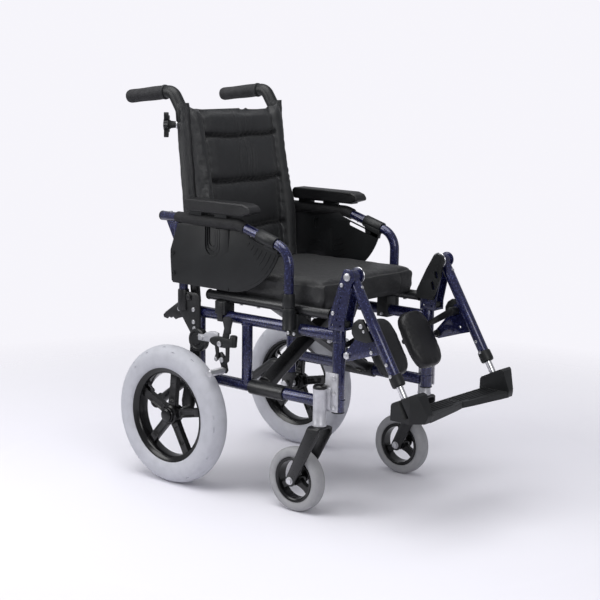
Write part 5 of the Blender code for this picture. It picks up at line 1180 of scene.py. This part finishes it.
def armrest_frame():
    corners = [at(ARM_X, 0.066, ARM_TOP), at(ARM_X, -0.165, ARM_TOP), at(ARM_X, ARM_FRONT, 0.556),
               at(ARM_X, ARM_FRONT, POST_FOOT)]
    loop = pipe(corners, 0.0105, 0.045, 32, 14)
    post = pipe([at(*REAR_SOCKET, POST_FOOT), at(*REAR_SOCKET, 0.462), at(ARM_X, ARM_REAR, 0.56),
                 at(ARM_X, ARM_REAR, 0.592)], 0.0101, 0.06, 32, 5)
    gusset = plate([(0.018, 0.591), (0.018, 0.545), (0.0235, 0.5385), (0.03, 0.545), (0.0525, 0.5865),
                    (0.054, 0.591)], ARM_X - 0.002, ARM_X + 0.002, 0.0008)
    bead = weld(ARM_X, ARM_REAR, 0.5875, 0.0105)
    both(join([loop, post, gusset, bead]), "armrest_tube", "armrest", blue, ["armrest_frame"])
    plug = lathe([(0.0, 0.0), (0.0104, 0.0), (0.0108, 0.0006), (0.0104, 0.0026), (0.006, 0.004),
                  (0.0, 0.0042)], at(ARM_X, 0.0659, ARM_TOP), (0, 1, 0), 32)
    both(plug, "arm_tube_plug", "armrest", plastic)
    sleeve = pipe([at(ARM_X, 0.02, 0.5982), at(ARM_X, -0.165, 0.5982), at(ARM_X, -0.186, 0.592)], 0.013,
                  0.045, 32, 8, 0.0022)
    both(sleeve, "arm_foam_sleeve", "armrest", foam_rubber)
    slope = (at(ARM_X, ARM_FRONT, 0.556) - at(ARM_X, -0.165, ARM_TOP)).normalized()
    start = at(ARM_X, -0.2235, 0.581)
    clip = lathe([(0.0106, 0.0), (0.0132, 0.0), (0.0138, 0.001), (0.0138, 0.05), (0.0132, 0.051),
                  (0.0106, 0.051)], start, slope, 40, 35, True)
    ear = plate([(-0.23, 0.576), (-0.233, 0.554), (-0.27, 0.544), (-0.274, 0.564)], 0.1712, ARM_X - 0.004,
                0.0012)
    both(join([clip, ear]), "arm_clip_sleeve", "armrest", plastic)
    peg = at(ARM_X, -0.1985, 0.5882)
    studs = [rod(peg, peg + Vector((0, -0.28, -0.96)) * 0.0135, 0.0028, 16, 0.0008)]
    studs.append(cap_screw(at(ARM_X + 0.0101, ARM_FRONT, 0.456), (1, 0, 0), 0.0032, 0.0018))
    studs.append(cap_screw(at(ARM_X + 0.0004, 0.04, 0.608), (0, 0, 1), 0.0034, 0.0022))
    both(join(studs), "arm_studs", "armrest", zinc)
    socket = lathe([(0.0106, 0.0), (0.0128, 0.0), (0.0134, 0.001), (0.013, 0.02), (0.0128, 0.029),
                    (0.0124, 0.03), (0.0106, 0.03)], at(ARM_X, ARM_FRONT, 0.4355), (0, 0, 1), 36, 35, True)
    both(socket, "arm_front_post_sleeve", "armrest", plastic)


def lean_out(piece):
    """Lean the skirt guard out to the rear, from inside the front post to outside the rear one."""
    start, tilt_from = -0.16, 0.575
    outwards, forwards, lower_rise, upper_drop = 0.1132, 0.0946, 0.0258, 0.05
    for vertex in piece.data.vertices:
        reach = max(0.0, vertex.co.y - AXLE_Y - start)
        vertex.co.x += outwards * reach
        vertex.co.y -= forwards * reach
        vertex.co.z += lower_rise * reach if vertex.co.z < tilt_from else -upper_drop * reach
    return piece


def side_panel():
    """The skirt guard: a moulded sheet with a smooth band, fan ribs and short vent lines."""
    outer, inner = 0.1747, 0.1712
    fan = (-0.13, 0.596)
    outline = [(0.028, 0.596), (0.03, 0.574), (0.05, 0.52), (0.05, 0.505), (0.0465, 0.452), (0.042, 0.447)]
    outline += arc(fan, 0.1495, 270, 197, 22)
    outline += [(-0.269, 0.5545), (-0.165, 0.587), (-0.156, 0.596)]
    sheet = plate(outline[::-1], inner, outer, 0.0008)
    slots = [(-0.19, 0.5715), (-0.245, 0.555)]
    near, far = [rod(at(inner - 0.01, *slot), at(outer + 0.01, *slot), 0.0045, 20, 0) for slot in slots]
    between = plate([(slots[0][0], slots[0][1] + 0.0045), (slots[0][0], slots[0][1] - 0.0045),
                     (slots[1][0], slots[1][1] - 0.0045), (slots[1][0], slots[1][1] + 0.0045)], inner - 0.01,
                    outer + 0.01, 0)
    for tool in (near, far, between):
        cut(sheet, tool)
    details = [shade(sheet)]
    for index in range(7):
        radius = 0.142 - 0.0125 * index
        line = arc(fan, radius, 268 - index * 0.3, 203 + index * 1.6, 20)
        details.append(strip(line, outer - 0.0004, outer + 0.0011, 0.0013))
    band = plate([(-0.127, 0.448), (-0.127, 0.586), (-0.084, 0.586), (-0.084, 0.448)], outer - 0.0006,
                 outer + 0.0022, 0.0009)
    details.append(band)
    for index in range(6):
        z = 0.5205 - 0.0118 * index
        start = -0.056 + 0.0035 * index if index < 3 else -0.062 - 0.0015 * index
        details.append(strip([(start, z), (-0.082, z - 0.0008)], outer - 0.0004, outer + 0.0008, 0.0011))
    for index in range(3):
        radius = 0.0215 - 0.0055 * index
        line = [(-0.079 - radius, 0.596)] + [(-0.079 + radius * math.cos(a), 0.583 - 0.022 - radius * 0.9
                                              + radius * (1 + math.sin(a)) - radius)
                                             for a in [math.radians(180 + 15 * s) for s in range(13)]]
        line += [(-0.079 + radius, 0.596)]
        details.append(strip(line, outer - 0.0004, outer + 0.0028 - 0.0002 * index, 0.0012))
    for y, z in ((0.043, 0.513), (0.0405, 0.468)):
        details.append(lathe([(0.0, 0.0), (0.0046, 0.0), (0.005, 0.0008), (0.005, 0.0018), (0.0026, 0.0018),
                              (0.0024, 0.0008), (0.0, 0.0008)], at(outer - 0.0003, y, z), (1, 0, 0), 28))
    panel = lean_out(join(details))
    both(panel, "skirt_guard_panel", "armrest", plastic, ["side_panel"])
    inside = []
    for index in range(6):
        z = 0.5205 - 0.0118 * index
        inside.append(strip([(-0.05, z), (-0.095, z - 0.0008)], inner - 0.001, inner + 0.0004, 0.0012))
    for index in range(2):
        radius = 0.0165 - 0.006 * index
        inside.append(strip(arc((-0.079, 0.563), radius, -70, 80, 12), inner - 0.0016, inner + 0.0004,
                            0.0014))
    both(lean_out(join(inside)), "skirt_guard_inner_lines", "armrest", plastic)


def strip(line, inner, outer, width):
    """A raised line of even width along points seen from the side."""
    left, right = [], []
    for index, (y, z) in enumerate(line):
        before = line[max(0, index - 1)]
        after = line[min(len(line) - 1, index + 1)]
        heading = Vector((after[0] - before[0], after[1] - before[1])).normalized()
        left.append((y - heading.y * width / 2, z + heading.x * width / 2))
        right.append((y + heading.y * width / 2, z - heading.x * width / 2))
    return plate(left + right[::-1], inner, outer, width * 0.22)


def armrest_pad():
    """A moulded pad with a flat top and chamfered ends and edges."""
    low, high = 0.619, 0.645
    rear, front = -0.014, -0.211
    middle_x = 0.185
    profile = [(rear, low + 0.004), (rear, high - 0.006), (rear - 0.006, high), (front + 0.022, high),
               (front + 0.006, high - 0.005), (front, high - 0.013), (front, high - 0.019),
               (front + 0.024, low), (rear - 0.008, low)]
    pad = plate(profile, middle_x - 0.019, middle_x + 0.019, 0)
    bevel(pad, 0.0066, 5, 25)
    both(shade(pad, 45), "arm_pad_moulding", "armrest", vinyl, ["armrest_pad"])
    feet = [box((ARM_X - 0.008, y - 0.018, 0.6095), (ARM_X + 0.01, y + 0.018, 0.6215), 0.0012)
            for y in (-0.119, -0.044)]
    rail = box((ARM_X - 0.012, -0.19, 0.617), (ARM_X + 0.012, -0.03, 0.6205), 0.0008)
    both(join(feet + [rail]), "arm_pad_feet", "armrest", plastic)


# Wheel locks

LOCK_X = 0.1871
LEVER_PIVOT = (-0.124, 0.333)
BRAKE_PIVOT = (-0.1275, 0.297)


def wheel_lock():
    bar = plate([(-0.05, 0.33), (-0.05, 0.344), (-0.16, 0.344), (-0.16, 0.33)], LOCK_X, LOCK_X + 0.005,
                0.001)
    saddle_line = [(-0.064, 0.343), (-0.074, 0.35), (-0.086, 0.3545), (-0.1, 0.356), (-0.112, 0.354),
                   (-0.112, 0.336), (-0.064, 0.336)]
    hump = plate(saddle_line, LOCK_X + 0.0002, LOCK_X + 0.0056, 0.0014)
    both(join([bar, hump]), "wheel_lock_bar", "side", silver, ["wheel_lock_body"])
    oval = [(-0.127 + 0.0345 * math.copysign(abs(math.cos(a)) ** 0.75, math.cos(a)), 0.3365 + 0.0118
             * math.sin(a)) for a in [math.tau * s / 44 for s in range(44)]]
    housing = plate(oval, LOCK_X + 0.0048, LOCK_X + 0.013, 0.0016)
    tab = plate([(-0.137, 0.33), (-0.1375, 0.302), (-0.1285, 0.3015), (-0.125, 0.2965), (-0.1285, 0.2905),
                 (-0.14, 0.29), (-0.1465, 0.296), (-0.1475, 0.33)], LOCK_X + 0.0053, LOCK_X + 0.0093, 0.001)
    link = plate([(-0.104, 0.33), (-0.1075, 0.308), (-0.103, 0.297), (-0.108, 0.29), (-0.115, 0.295),
                  (-0.1165, 0.308), (-0.115, 0.33)], LOCK_X + 0.0053, LOCK_X + 0.0088, 0.001)
    knob = lathe([(0.0, 0.0), (0.0078, 0.0), (0.0086, 0.001), (0.0086, 0.023), (0.0072, 0.025),
                  (0.0, 0.0254)], at(LOCK_X + 0.004, -0.155, 0.329), (0, -0.1, 1), 32)
    both(join([housing, tab, link, knob]), "wheel_lock_housing", "side", plastic)
    screws = [cap_screw(at(LOCK_X + x, y, z), (1, 0, 0), r, 0.0026)
              for x, y, z, r in ((0.0086, -0.1095, 0.2965, 0.0044), (0.0048, -0.062, 0.337, 0.0042),
                                 (0.0048, -0.155, 0.337, 0.0036))]
    both(join(screws), "wheel_lock_screws", "side", zinc)
    neck = plate(arc(LEVER_PIVOT, 0.009, 180, 360, 14) + [(-0.124, 0.366), (-0.14, 0.366)], 0.1813, 0.1868,
                 0.001)
    grip = lathe([(0.0, 0.0), (0.0084, 0.0), (0.009, 0.001), (0.0094, 0.011), (0.0112, 0.019),
                  (0.013, 0.026), (0.0132, 0.031), (0.0114, 0.035), (0.0066, 0.0372), (0.0, 0.0376)],
                 at(0.184, -0.1325, 0.3545), (0, 0, 1), 40)
    for vertex in grip.data.vertices:
        vertex.co.x = 0.184 + (vertex.co.x - 0.184) * 0.58
    both(join([neck, grip]), "wheel_lock_lever", "lock_lever", grip_rubber, ["wheel_lock_lever"])
    pin = cap_screw(at(LOCK_X + 0.0129, *LEVER_PIVOT), (1, 0, 0), 0.0062, 0.0034)
    shank = rod(at(0.182, *LEVER_PIVOT), at(LOCK_X + 0.0135, *LEVER_PIVOT), 0.0039, 20)
    both(join([pin, shank]), "wheel_lock_lever_pin", "lock_lever", zinc)
    arm = plate([(-0.112, 0.31), (-0.12, 0.313), (-0.131, 0.304), (-0.1395, 0.2735), (-0.135, 0.2665),
                 (-0.1275, 0.2665), (-0.1225, 0.274), (-0.1135, 0.3)], 0.1868, 0.1921, 0.0012)
    both(arm, "wheel_lock_arm", "lock_arm", black, ["wheel_lock_arm"])
    ribs = [(0.0, 0.0), (0.0052, 0.0), (0.0056, 0.004)]
    for index in range(11):
        base = 0.006 + 0.004 * index
        ribs += [(0.0075, base), (0.0075, base + 0.0024), (0.0071, base + 0.0028), (0.0071, base + 0.0036)]
    ribs += [(0.0074, 0.0502), (0.0062, 0.0514), (0.0, 0.0516)]
    stub = lathe(ribs, at(0.1915, -0.1315, 0.274), (1, 0, 0), 24)
    arm_pin = cap_screw(at(LOCK_X + 0.0092, *BRAKE_PIVOT), (1, 0, 0), 0.0058, 0.003)
    arm_shank = rod(at(0.188, *BRAKE_PIVOT), at(LOCK_X + 0.01, *BRAKE_PIVOT), 0.0039, 20)
    both(join([stub, arm_pin, arm_shank]), "wheel_lock_stub", "lock_arm", zinc)


def bracket_tail():
    """The hooked tail behind the rear bracket and the strap of the rear rail saddle."""
    tail = plate([(0.025, 0.406), (0.048, 0.39), (0.068, 0.376), (0.075, 0.369), (0.0735, 0.363),
                  (0.062, 0.361), (0.058, 0.3665), (0.05, 0.364), (0.044, 0.368), (0.036, 0.3625),
                  (0.029, 0.366), (0.01, 0.372)], BRACKET_IN + 0.0004, BRACKET_OUT - 0.0004, 0.001)
    strap = box((SIDE_X + 0.0127, -0.1075, 0.376), (SIDE_X + 0.0165, -0.0925, 0.42), 0.001)
    both(join([tail, strap]), "rear_bracket_tail", "side", black)


# Legrests

LEG_X = 0.163
KNEE = (-0.459, 0.517)
LEG_LEAN = math.radians(30.8)


def leg(along, ahead=0.0, x=LEG_X):
    """A point on the legrest: metres down the tube from the knee, and ahead of it."""
    down = Vector((0.0, -math.sin(LEG_LEAN), -math.cos(LEG_LEAN)))
    front = Vector((0.0, -math.cos(LEG_LEAN), math.sin(LEG_LEAN)))
    return at(x, *KNEE) + down * along + front * ahead


def leg_outline(points):
    return [(place.y - AXLE_Y, place.z) for place in (leg(*point) for point in points)]


def legrest_hanger():
    outline = [(-0.4105, 0.403), (-0.4105, 0.423), (-0.4345, 0.495)]
    outline += arc(KNEE, 0.0165, 45, 235, 18)
    outline += [(-0.452, 0.423), (-0.452, 0.403)]
    inner = plate(outline[::-1], 0.1467, 0.1507, 0.0009)
    outer = plate(outline[::-1], 0.1753, 0.1793, 0.0009)
    holes = [(-0.4325, 0.425), (-0.4345, 0.437), (-0.4365, 0.449), (-0.4395, 0.461), (-0.4425, 0.473),
             (-0.42, 0.413), (-0.442, 0.413)]
    drill(outer, *[(at(0.17, y, z), at(0.19, y, z), 0.0021) for y, z in holes])
    drill(inner, *[(at(0.14, y, z), at(0.155, y, z), 0.0021) for y, z in holes])
    base = box((0.1475, -0.451, 0.403), (0.1785, -0.4115, 0.409), 0.001)
    both(join([inner, outer, base]), "legrest_hanger_channel", "hanger", blue, ["legrest_hanger"])
    pin = rod(at(SIDE_X, -0.425, 0.3585), at(SIDE_X, -0.425, 0.406), 0.0059, 24, 0.001)
    shank = rod(at(0.147, *KNEE), at(0.1812, *KNEE), 0.0049, 20)
    head = cap_screw(at(0.1791, *KNEE), (1, 0, 0), 0.0082, 0.0042)
    small = [cap_screw(at(0.1791, y, z), (1, 0, 0), 0.0042, 0.0026) for y, z in ((-0.4445, 0.499),
                                                                                 (-0.423, 0.438))]
    both(join([pin, shank, head] + small), "legrest_hanger_bolts", "hanger", zinc)
    catch = box((0.151, -0.448, 0.4092), (0.175, -0.425, 0.42), 0.0016)
    horn = rod(at(0.163, -0.436, 0.419), at(0.163, -0.436, 0.427), 0.006, 24, 0.001)
    both(join([catch, horn]), "hanger_catch", "hanger", plastic)


def knee_guard():
    outline = [(-0.404, 0.429), (-0.405, 0.447), (-0.429, 0.495)]
    outline += arc(KNEE, 0.015, 35, 200, 18)
    outline += [(-0.466, 0.477), (-0.449, 0.428)]
    guard = plate(outline[::-1], 0.14, 0.146, 0)
    holes = []
    for y, z, long in ((-0.456, 0.485, 0.0045), (-0.448, 0.46, 0.0055)):
        for step in range(7):
            drop = (step / 6 - 0.5) * 2 * long
            holes.append((at(0.13, y + drop * 0.25, z + drop), at(0.16, y + drop * 0.25, z + drop), 0.0042))
    for hole in holes:
        cut(guard, rod(*hole, 20, 0))
    bevel(guard, 0.0016, 3, 40)
    both(shade(guard), "knee_guard_shell", "hanger", plastic, ["knee_guard"])


def legrest_tube():
    bar = rod(leg(0.004), leg(0.238), 0.0115, 36, 0.001)
    eye = rod(at(0.1509, *KNEE), at(0.1751, *KNEE), 0.0135, 36, 0.001)
    corners = [(0.098, 0.0), (0.1, -0.018), (0.103, -0.03), (0.12, -0.063), (0.131, -0.096), (0.137, -0.101),
               (0.144, -0.101), (0.15, -0.095), (0.164, -0.035), (0.169, -0.016), (0.172, 0.0)]
    web = plate(leg_outline(corners), LEG_X - 0.0025, LEG_X + 0.0025, 0.0009)
    drill(web, (leg(0.15, -0.03, 0.15), leg(0.15, -0.03, 0.18), 0.003))
    both(join([bar, eye, web]), "legrest_tube_and_web", "leg", blue, ["legrest_tube"])
    away = (leg(1.0) - leg(0.0)).normalized()
    collar = lathe([(0.0074, 0.0), (0.012, 0.0), (0.0136, 0.0012), (0.0142, 0.005), (0.0146, 0.018),
                    (0.014, 0.023), (0.0118, 0.0252), (0.0074, 0.0252)], leg(0.22), away, 40, 35, True)
    both(collar, "leg_tube_collar", "leg", plastic)
    ring = lathe([(0.014, 0.0), (0.0172, 0.0), (0.0177, 0.0006), (0.0177, 0.0014), (0.0172, 0.002),
                  (0.014, 0.002)], at(0.1446, *KNEE), (1, 0, 0), 48, 35, True)
    screws = []
    for along, ahead, x, way in ((0.196, 0.0, 0.1744, 1), (0.221, 0.0, 0.1773, 1), (0.196, 0.0, 0.1516, -1),
                                 (0.221, 0.0, 0.1487, -1)):
        screws.append(cap_screw(leg(along, ahead, x), (way, 0, 0), 0.0036, 0.0024))
    forward = (leg(0.0, 1.0) - leg(0.0)).normalized()
    screws.append(cap_screw(leg(0.03, 0.0112), forward, 0.0034, 0.0022))
    screws.append(cap_screw(leg(0.112, -0.011, LEG_X + 0.0024), (1, 0, 0), 0.005, 0.003))
    screws.append(cap_screw(leg(0.158, -0.03, LEG_X + 0.0024), (1, 0, 0), 0.004, 0.0026))
    both(join(screws), "leg_tube_screws", "leg", zinc)
    both(ring, "knee_washer_ring", "hanger", bright)


def quadrant():
    """The black ratchet quadrant on the web, with its bolt, behind the leg tube."""
    outline = leg_outline([(0.09, -0.013), (0.085, -0.024), (0.086, -0.037), (0.093, -0.048),
                           (0.104, -0.054), (0.118, -0.053), (0.136, -0.03), (0.14, -0.013)])
    disc = plate(outline, LEG_X + 0.0027, LEG_X + 0.009, 0.0016)
    both(disc, "leg_quadrant", "leg", plastic)
    bolt = cap_screw(leg(0.101, -0.023, LEG_X + 0.0088), (1, 0, 0), 0.0048, 0.003)
    both(bolt, "leg_quadrant_bolt", "leg", zinc)


def legrest_lever():
    face = LEG_X - 0.0028
    outline = leg_outline([(0.105, -0.0165), (0.121, -0.0165), (0.1215, -0.029), (0.119, -0.1225),
                           (0.1155, -0.124), (0.1095, -0.1225), (0.106, -0.03)])
    arm = plate(outline, 0.1355, 0.1415, 0.0014)
    hub = rod(leg(0.113, -0.0225, 0.136), leg(0.113, -0.0225, face), 0.0095, 32, 0.0008)
    both(join([arm, hub]), "legrest_release_lever", "release", black, ["legrest_lever"])
    pin = cap_screw(leg(0.113, -0.0225, LEG_X + 0.0089), (1, 0, 0), 0.003, 0.0016)
    shank = rod(leg(0.113, -0.0225, 0.14), leg(0.113, -0.0225, LEG_X + 0.0092), 0.0026, 20)
    both(join([pin, shank]), "legrest_release_pin", "release", zinc)


CALF_X = 0.062
CALF_DOWN = 0.1465
CALF_BEHIND = -0.085


def calf_pad():
    """A padded oval calf support: flat shell behind, full edge and a crowned face."""
    levels = [(0.86, 0.0), (0.92, 0.05), (0.955, 0.16), (0.965, 0.34), (0.965, 0.52), (0.945, 0.68),
              (0.895, 0.82), (0.79, 0.92), (0.6, 0.975), (0.34, 0.995), (0.12, 1.0)]
    half_wide, half_high = 0.048, 0.067
    rings = []
    for scale, depth in levels:
        ring = []
        for index in range(48):
            angle = math.tau * index / 48
            wide = math.copysign(abs(math.cos(angle)) ** 0.62, math.cos(angle)) * half_wide * scale
            high = math.copysign(abs(math.sin(angle)) ** 0.62, math.sin(angle)) * (half_high - half_wide
                                                                                   * (1 - scale))
            ring.append(leg(CALF_DOWN - high, CALF_BEHIND + depth * 0.029, CALF_X + wide))
        rings.append(ring)
    pad = plump(loft(rings), 0.0035, 3.0, 0.0022)
    origin = leg(CALF_DOWN, CALF_BEHIND, CALF_X)
    front = (leg(0.0, 1.0) - leg(0.0)).normalized()
    down = (leg(1.0) - leg(0.0)).normalized()
    for vertex in pad.data.vertices:
        offset = vertex.co - origin
        ahead = offset.dot(front)
        if ahead < 0.0:
            vertex.co -= front * ahead
            continue
        round_it = math.atan2(offset.dot(down), offset.x)
        reach = math.hypot(offset.x / half_wide, offset.dot(down) / half_high)
        if reach > 0.8:
            vertex.co -= (offset - front * ahead) * 0.016 * ripple(ahead, 0.0068, 0.0016)
        vertex.co -= front * 0.00035 * math.sin(round_it * 17.0) * ripple(reach, 0.86, 0.1)
    both(shade(pad, 60), "calf_pad_cover", "calf", vinyl, ["calf_pad"])


def calf_bracket():
    spot = (0.139, -0.0915)
    bar = rod(leg(*spot, CALF_X - 0.03), leg(*spot, 0.1688), 0.006, 28, 0.0008)
    collar = rod(leg(*spot, 0.1542), leg(*spot, 0.1602), 0.0085, 28, 0.0008)
    outline = leg_outline([(CALF_DOWN - 0.034, -0.0884), (CALF_DOWN + 0.034, -0.0884),
                           (CALF_DOWN + 0.034, -0.0854), (CALF_DOWN - 0.034, -0.0854)])
    backing = plate(outline, CALF_X - 0.026, CALF_X + 0.026)
    clamp = plate(leg_outline([(0.1285, -0.088), (0.1285, -0.096), (0.132, -0.1), (0.146, -0.1),
                               (0.1495, -0.096), (0.1495, -0.088)]), CALF_X - 0.012, CALF_X + 0.012, 0.001)
    both(join([bar, collar, backing, clamp]), "calf_bracket_rod", "calf", black, ["calf_bracket"])
    back = (leg(0.0, -1.0) - leg(0.0)).normalized()
    screws = [cap_screw(leg(CALF_DOWN + rise, -0.0882, CALF_X + x), back, 0.0036, 0.0022)
              for rise in (-0.024, 0.024) for x in (-0.018, 0.018)]
    head = hexagon(leg(*spot, 0.1658), leg(*spot, 0.1698), 0.014)
    both(join(screws + [head]), "calf_bracket_screws", "calf", zinc)


def footrest_stem():
    stem = rod(leg(0.153), leg(0.306), 0.007, 36, 0.001)
    both(stem, "footrest_stem_tube", "stem", bright, ["footrest_stem"])
    pin = rod(leg(0.303, -0.019), leg(0.303, 0.019), 0.0035, 20, 0.0006)
    both(pin, "footplate_hinge_pin", "stem", zinc)


FOOT_Y = -0.61415
FOOT_Z = 0.25674


def footplate():
    """A swept tread with ribs, and the raised outer block notched for the stem."""
    inner, outer = 0.142, 0.184
    y, z = FOOT_Y, FOOT_Z
    profile = [(y + 0.036, z - 0.017), (y + 0.0352, z + 0.014), (y + 0.033, z + 0.0185),
               (y + 0.028, z + 0.0212), (y - 0.012, z + 0.0412), (y - 0.017, z + 0.042),
               (y - 0.0235, z + 0.0395), (y - 0.0385, z + 0.001), (y - 0.039, z - 0.003),
               (y - 0.035, z - 0.017)]
    block = plate(profile[::-1], inner, outer, 0)
    plan = [(0.001, y + 0.028), (0.001, y - 0.016), (0.03, y - 0.0215), (inner - 0.02, y - 0.034),
            (inner + 0.004, y - 0.037), (inner + 0.004, y + 0.034), (inner - 0.01, y + 0.028)]
    tread = plate(plan[::-1], z - 0.017, z - 0.004, 0, "xy")
    cut(block, tread, "UNION")
    activate(block)
    begin()
    corner = at(outer, y - 0.0117, z)
    bpy.ops.mesh.bisect(plane_co=corner, plane_no=(math.cos(math.radians(42)), -math.sin(math.radians(42)),
                                                   0.0), use_fill=True, clear_outer=True)
    end()
    bevel(block, 0.0016, 3, 30)
    slot = rod(leg(0.309), leg(0.245), 0.009, 32, 0)
    cut(block, slot)
    notch_low, notch_high = leg(0.303 + 0.0088), leg(0.303 - 0.08)
    notch = rod(notch_low + Vector((0.016, 0, 0)), notch_high + Vector((0.016, 0, 0)), 0.011, 4, 0)
    cut(block, notch)
    details = [shade(block)]
    for index in range(5):
        line = y + 0.0215 - 0.0082 * index
        rib = box((0.006 if line > y - 0.01 else 0.03, line - 0.0012, z - 0.0045),
                  (inner - 0.003, line + 0.0012, z - 0.0027), 0.0005)
        details.append(rib)
    both(join(details), "footplate_moulding", "foot", plastic, ["footplate"])


# Pieces in order

for build in (side_frame, front_receiver, rear_bracket, bracket_tail, rear_tyre, rear_rim, rear_axle,
              tipping_lever, caster_housing, caster_fork, caster_wheel, back_cane, push_grip, star_knob,
              back_cushion, back_sleeve, seat_cushion, scissor, armrest_frame, side_panel, armrest_pad,
              wheel_lock, legrest_hanger, knee_guard, legrest_tube, quadrant, legrest_lever, calf_pad,
              calf_bracket, footrest_stem, footplate):
    build()


# Studio: a pale floor that meets the white, soft lamps and the photograph's camera

def floor():
    deselect()
    bpy.ops.mesh.primitive_plane_add(size=1.0, location=(0.0, 0.0, 0.0))
    ground = bpy.context.object
    ground.dimensions = (14.0, 14.0, 0.0)
    fade_start, fade_end = 0.75, 1.75
    settle()
    ground.name = "studio_floor"
    finish = Finish("pale_studio_floor", roughness=0.75, specular_ior_level=0.2)
    finish.set("Base Color", finish.mix(finish.noise(0.8).between(0.3, 0.7), (0.8, 0.79, 0.845),
                                        (0.83, 0.82, 0.87)))
    x, y = finish.split(finish.place())[:2]
    away = (x * x + y * y) ** 0.5
    finish.set("Alpha", away.between(fade_start, fade_end, 1.0, 0.0))
    coat(ground, finish.material)


def lamp(name, place, target, size, power, tall=None):
    data = bpy.data.lights.new(name, "AREA")
    data.energy = power
    data.size = size
    if tall:
        data.shape = "RECTANGLE"
        data.size_y = tall
    item = bpy.data.objects.new(name, data)
    item.location = place
    item.rotation_euler = (Vector(target) - Vector(place)).to_track_quat("-Z", "Y").to_euler()
    bpy.context.scene.collection.objects.link(item)


def studio():
    floor()
    world = bpy.data.worlds.new("studio")
    bpy.context.scene.world = world
    world.use_nodes = True
    tree = world.node_tree
    tree.nodes.clear()
    out = tree.nodes.new("ShaderNodeOutputWorld")
    mixer = tree.nodes.new("ShaderNodeMixShader")
    fill = tree.nodes.new("ShaderNodeBackground")
    fill.inputs["Color"].default_value = (0.93, 0.94, 1.0, 1.0)
    fill.inputs["Strength"].default_value = 0.36
    seen = tree.nodes.new("ShaderNodeBackground")
    seen.inputs["Color"].default_value = (0.925, 0.915, 0.965, 1.0)
    seen.inputs["Strength"].default_value = 1.0
    path = tree.nodes.new("ShaderNodeLightPath")
    most = tree.nodes.new("ShaderNodeMath")
    most.operation = "MAXIMUM"
    tree.links.new(path.outputs["Is Camera Ray"], most.inputs[0])
    tree.links.new(path.outputs["Is Transmission Ray"], most.inputs[1])
    tree.links.new(most.outputs[0], mixer.inputs[0])
    tree.links.new(fill.outputs[0], mixer.inputs[1])
    tree.links.new(seen.outputs[0], mixer.inputs[2])
    tree.links.new(mixer.outputs[0], out.inputs[0])
    lamp("overhead_softbox", (-0.5, 0.2, 3.0), (0.0, 0.0, 0.4), 2.4, 66.0)
    lamp("left_softbox", (-2.3, 1.7, 1.9), (0.0, 0.0, 0.5), 1.4, 40.0, 2.0)
    lamp("front_softbox", (-1.6, -2.8, 1.6), (0.0, 0.0, 0.45), 1.6, 26.0, 1.4)


def camera():
    data = bpy.data.cameras.new("photo_camera")
    data.lens = 87.05
    data.sensor_width = 36.0
    place = (-2.47309, -2.02926, 0.98754)
    item = bpy.data.objects.new("photo_camera", data)
    bpy.context.scene.collection.objects.link(item)
    yaw, pitch, roll = math.radians(50.0907), math.radians(10.111), math.radians(0.875)
    forward = Vector((math.sin(yaw) * math.cos(pitch), math.cos(yaw) * math.cos(pitch), -math.sin(pitch)))
    level = Vector((math.cos(yaw), -math.sin(yaw), 0.0))
    upright = level.cross(forward)
    side = level * math.cos(roll) + upright * math.sin(roll)
    up = upright * math.cos(roll) - level * math.sin(roll)
    turn = Matrix((side, up, -forward)).transposed().to_4x4()
    item.matrix_world = Matrix.Translation(place) @ turn
    bpy.context.scene.camera = item
    bpy.context.scene.view_settings.view_transform = "Standard"


studio()
camera()
bpy.context.view_layer.update()
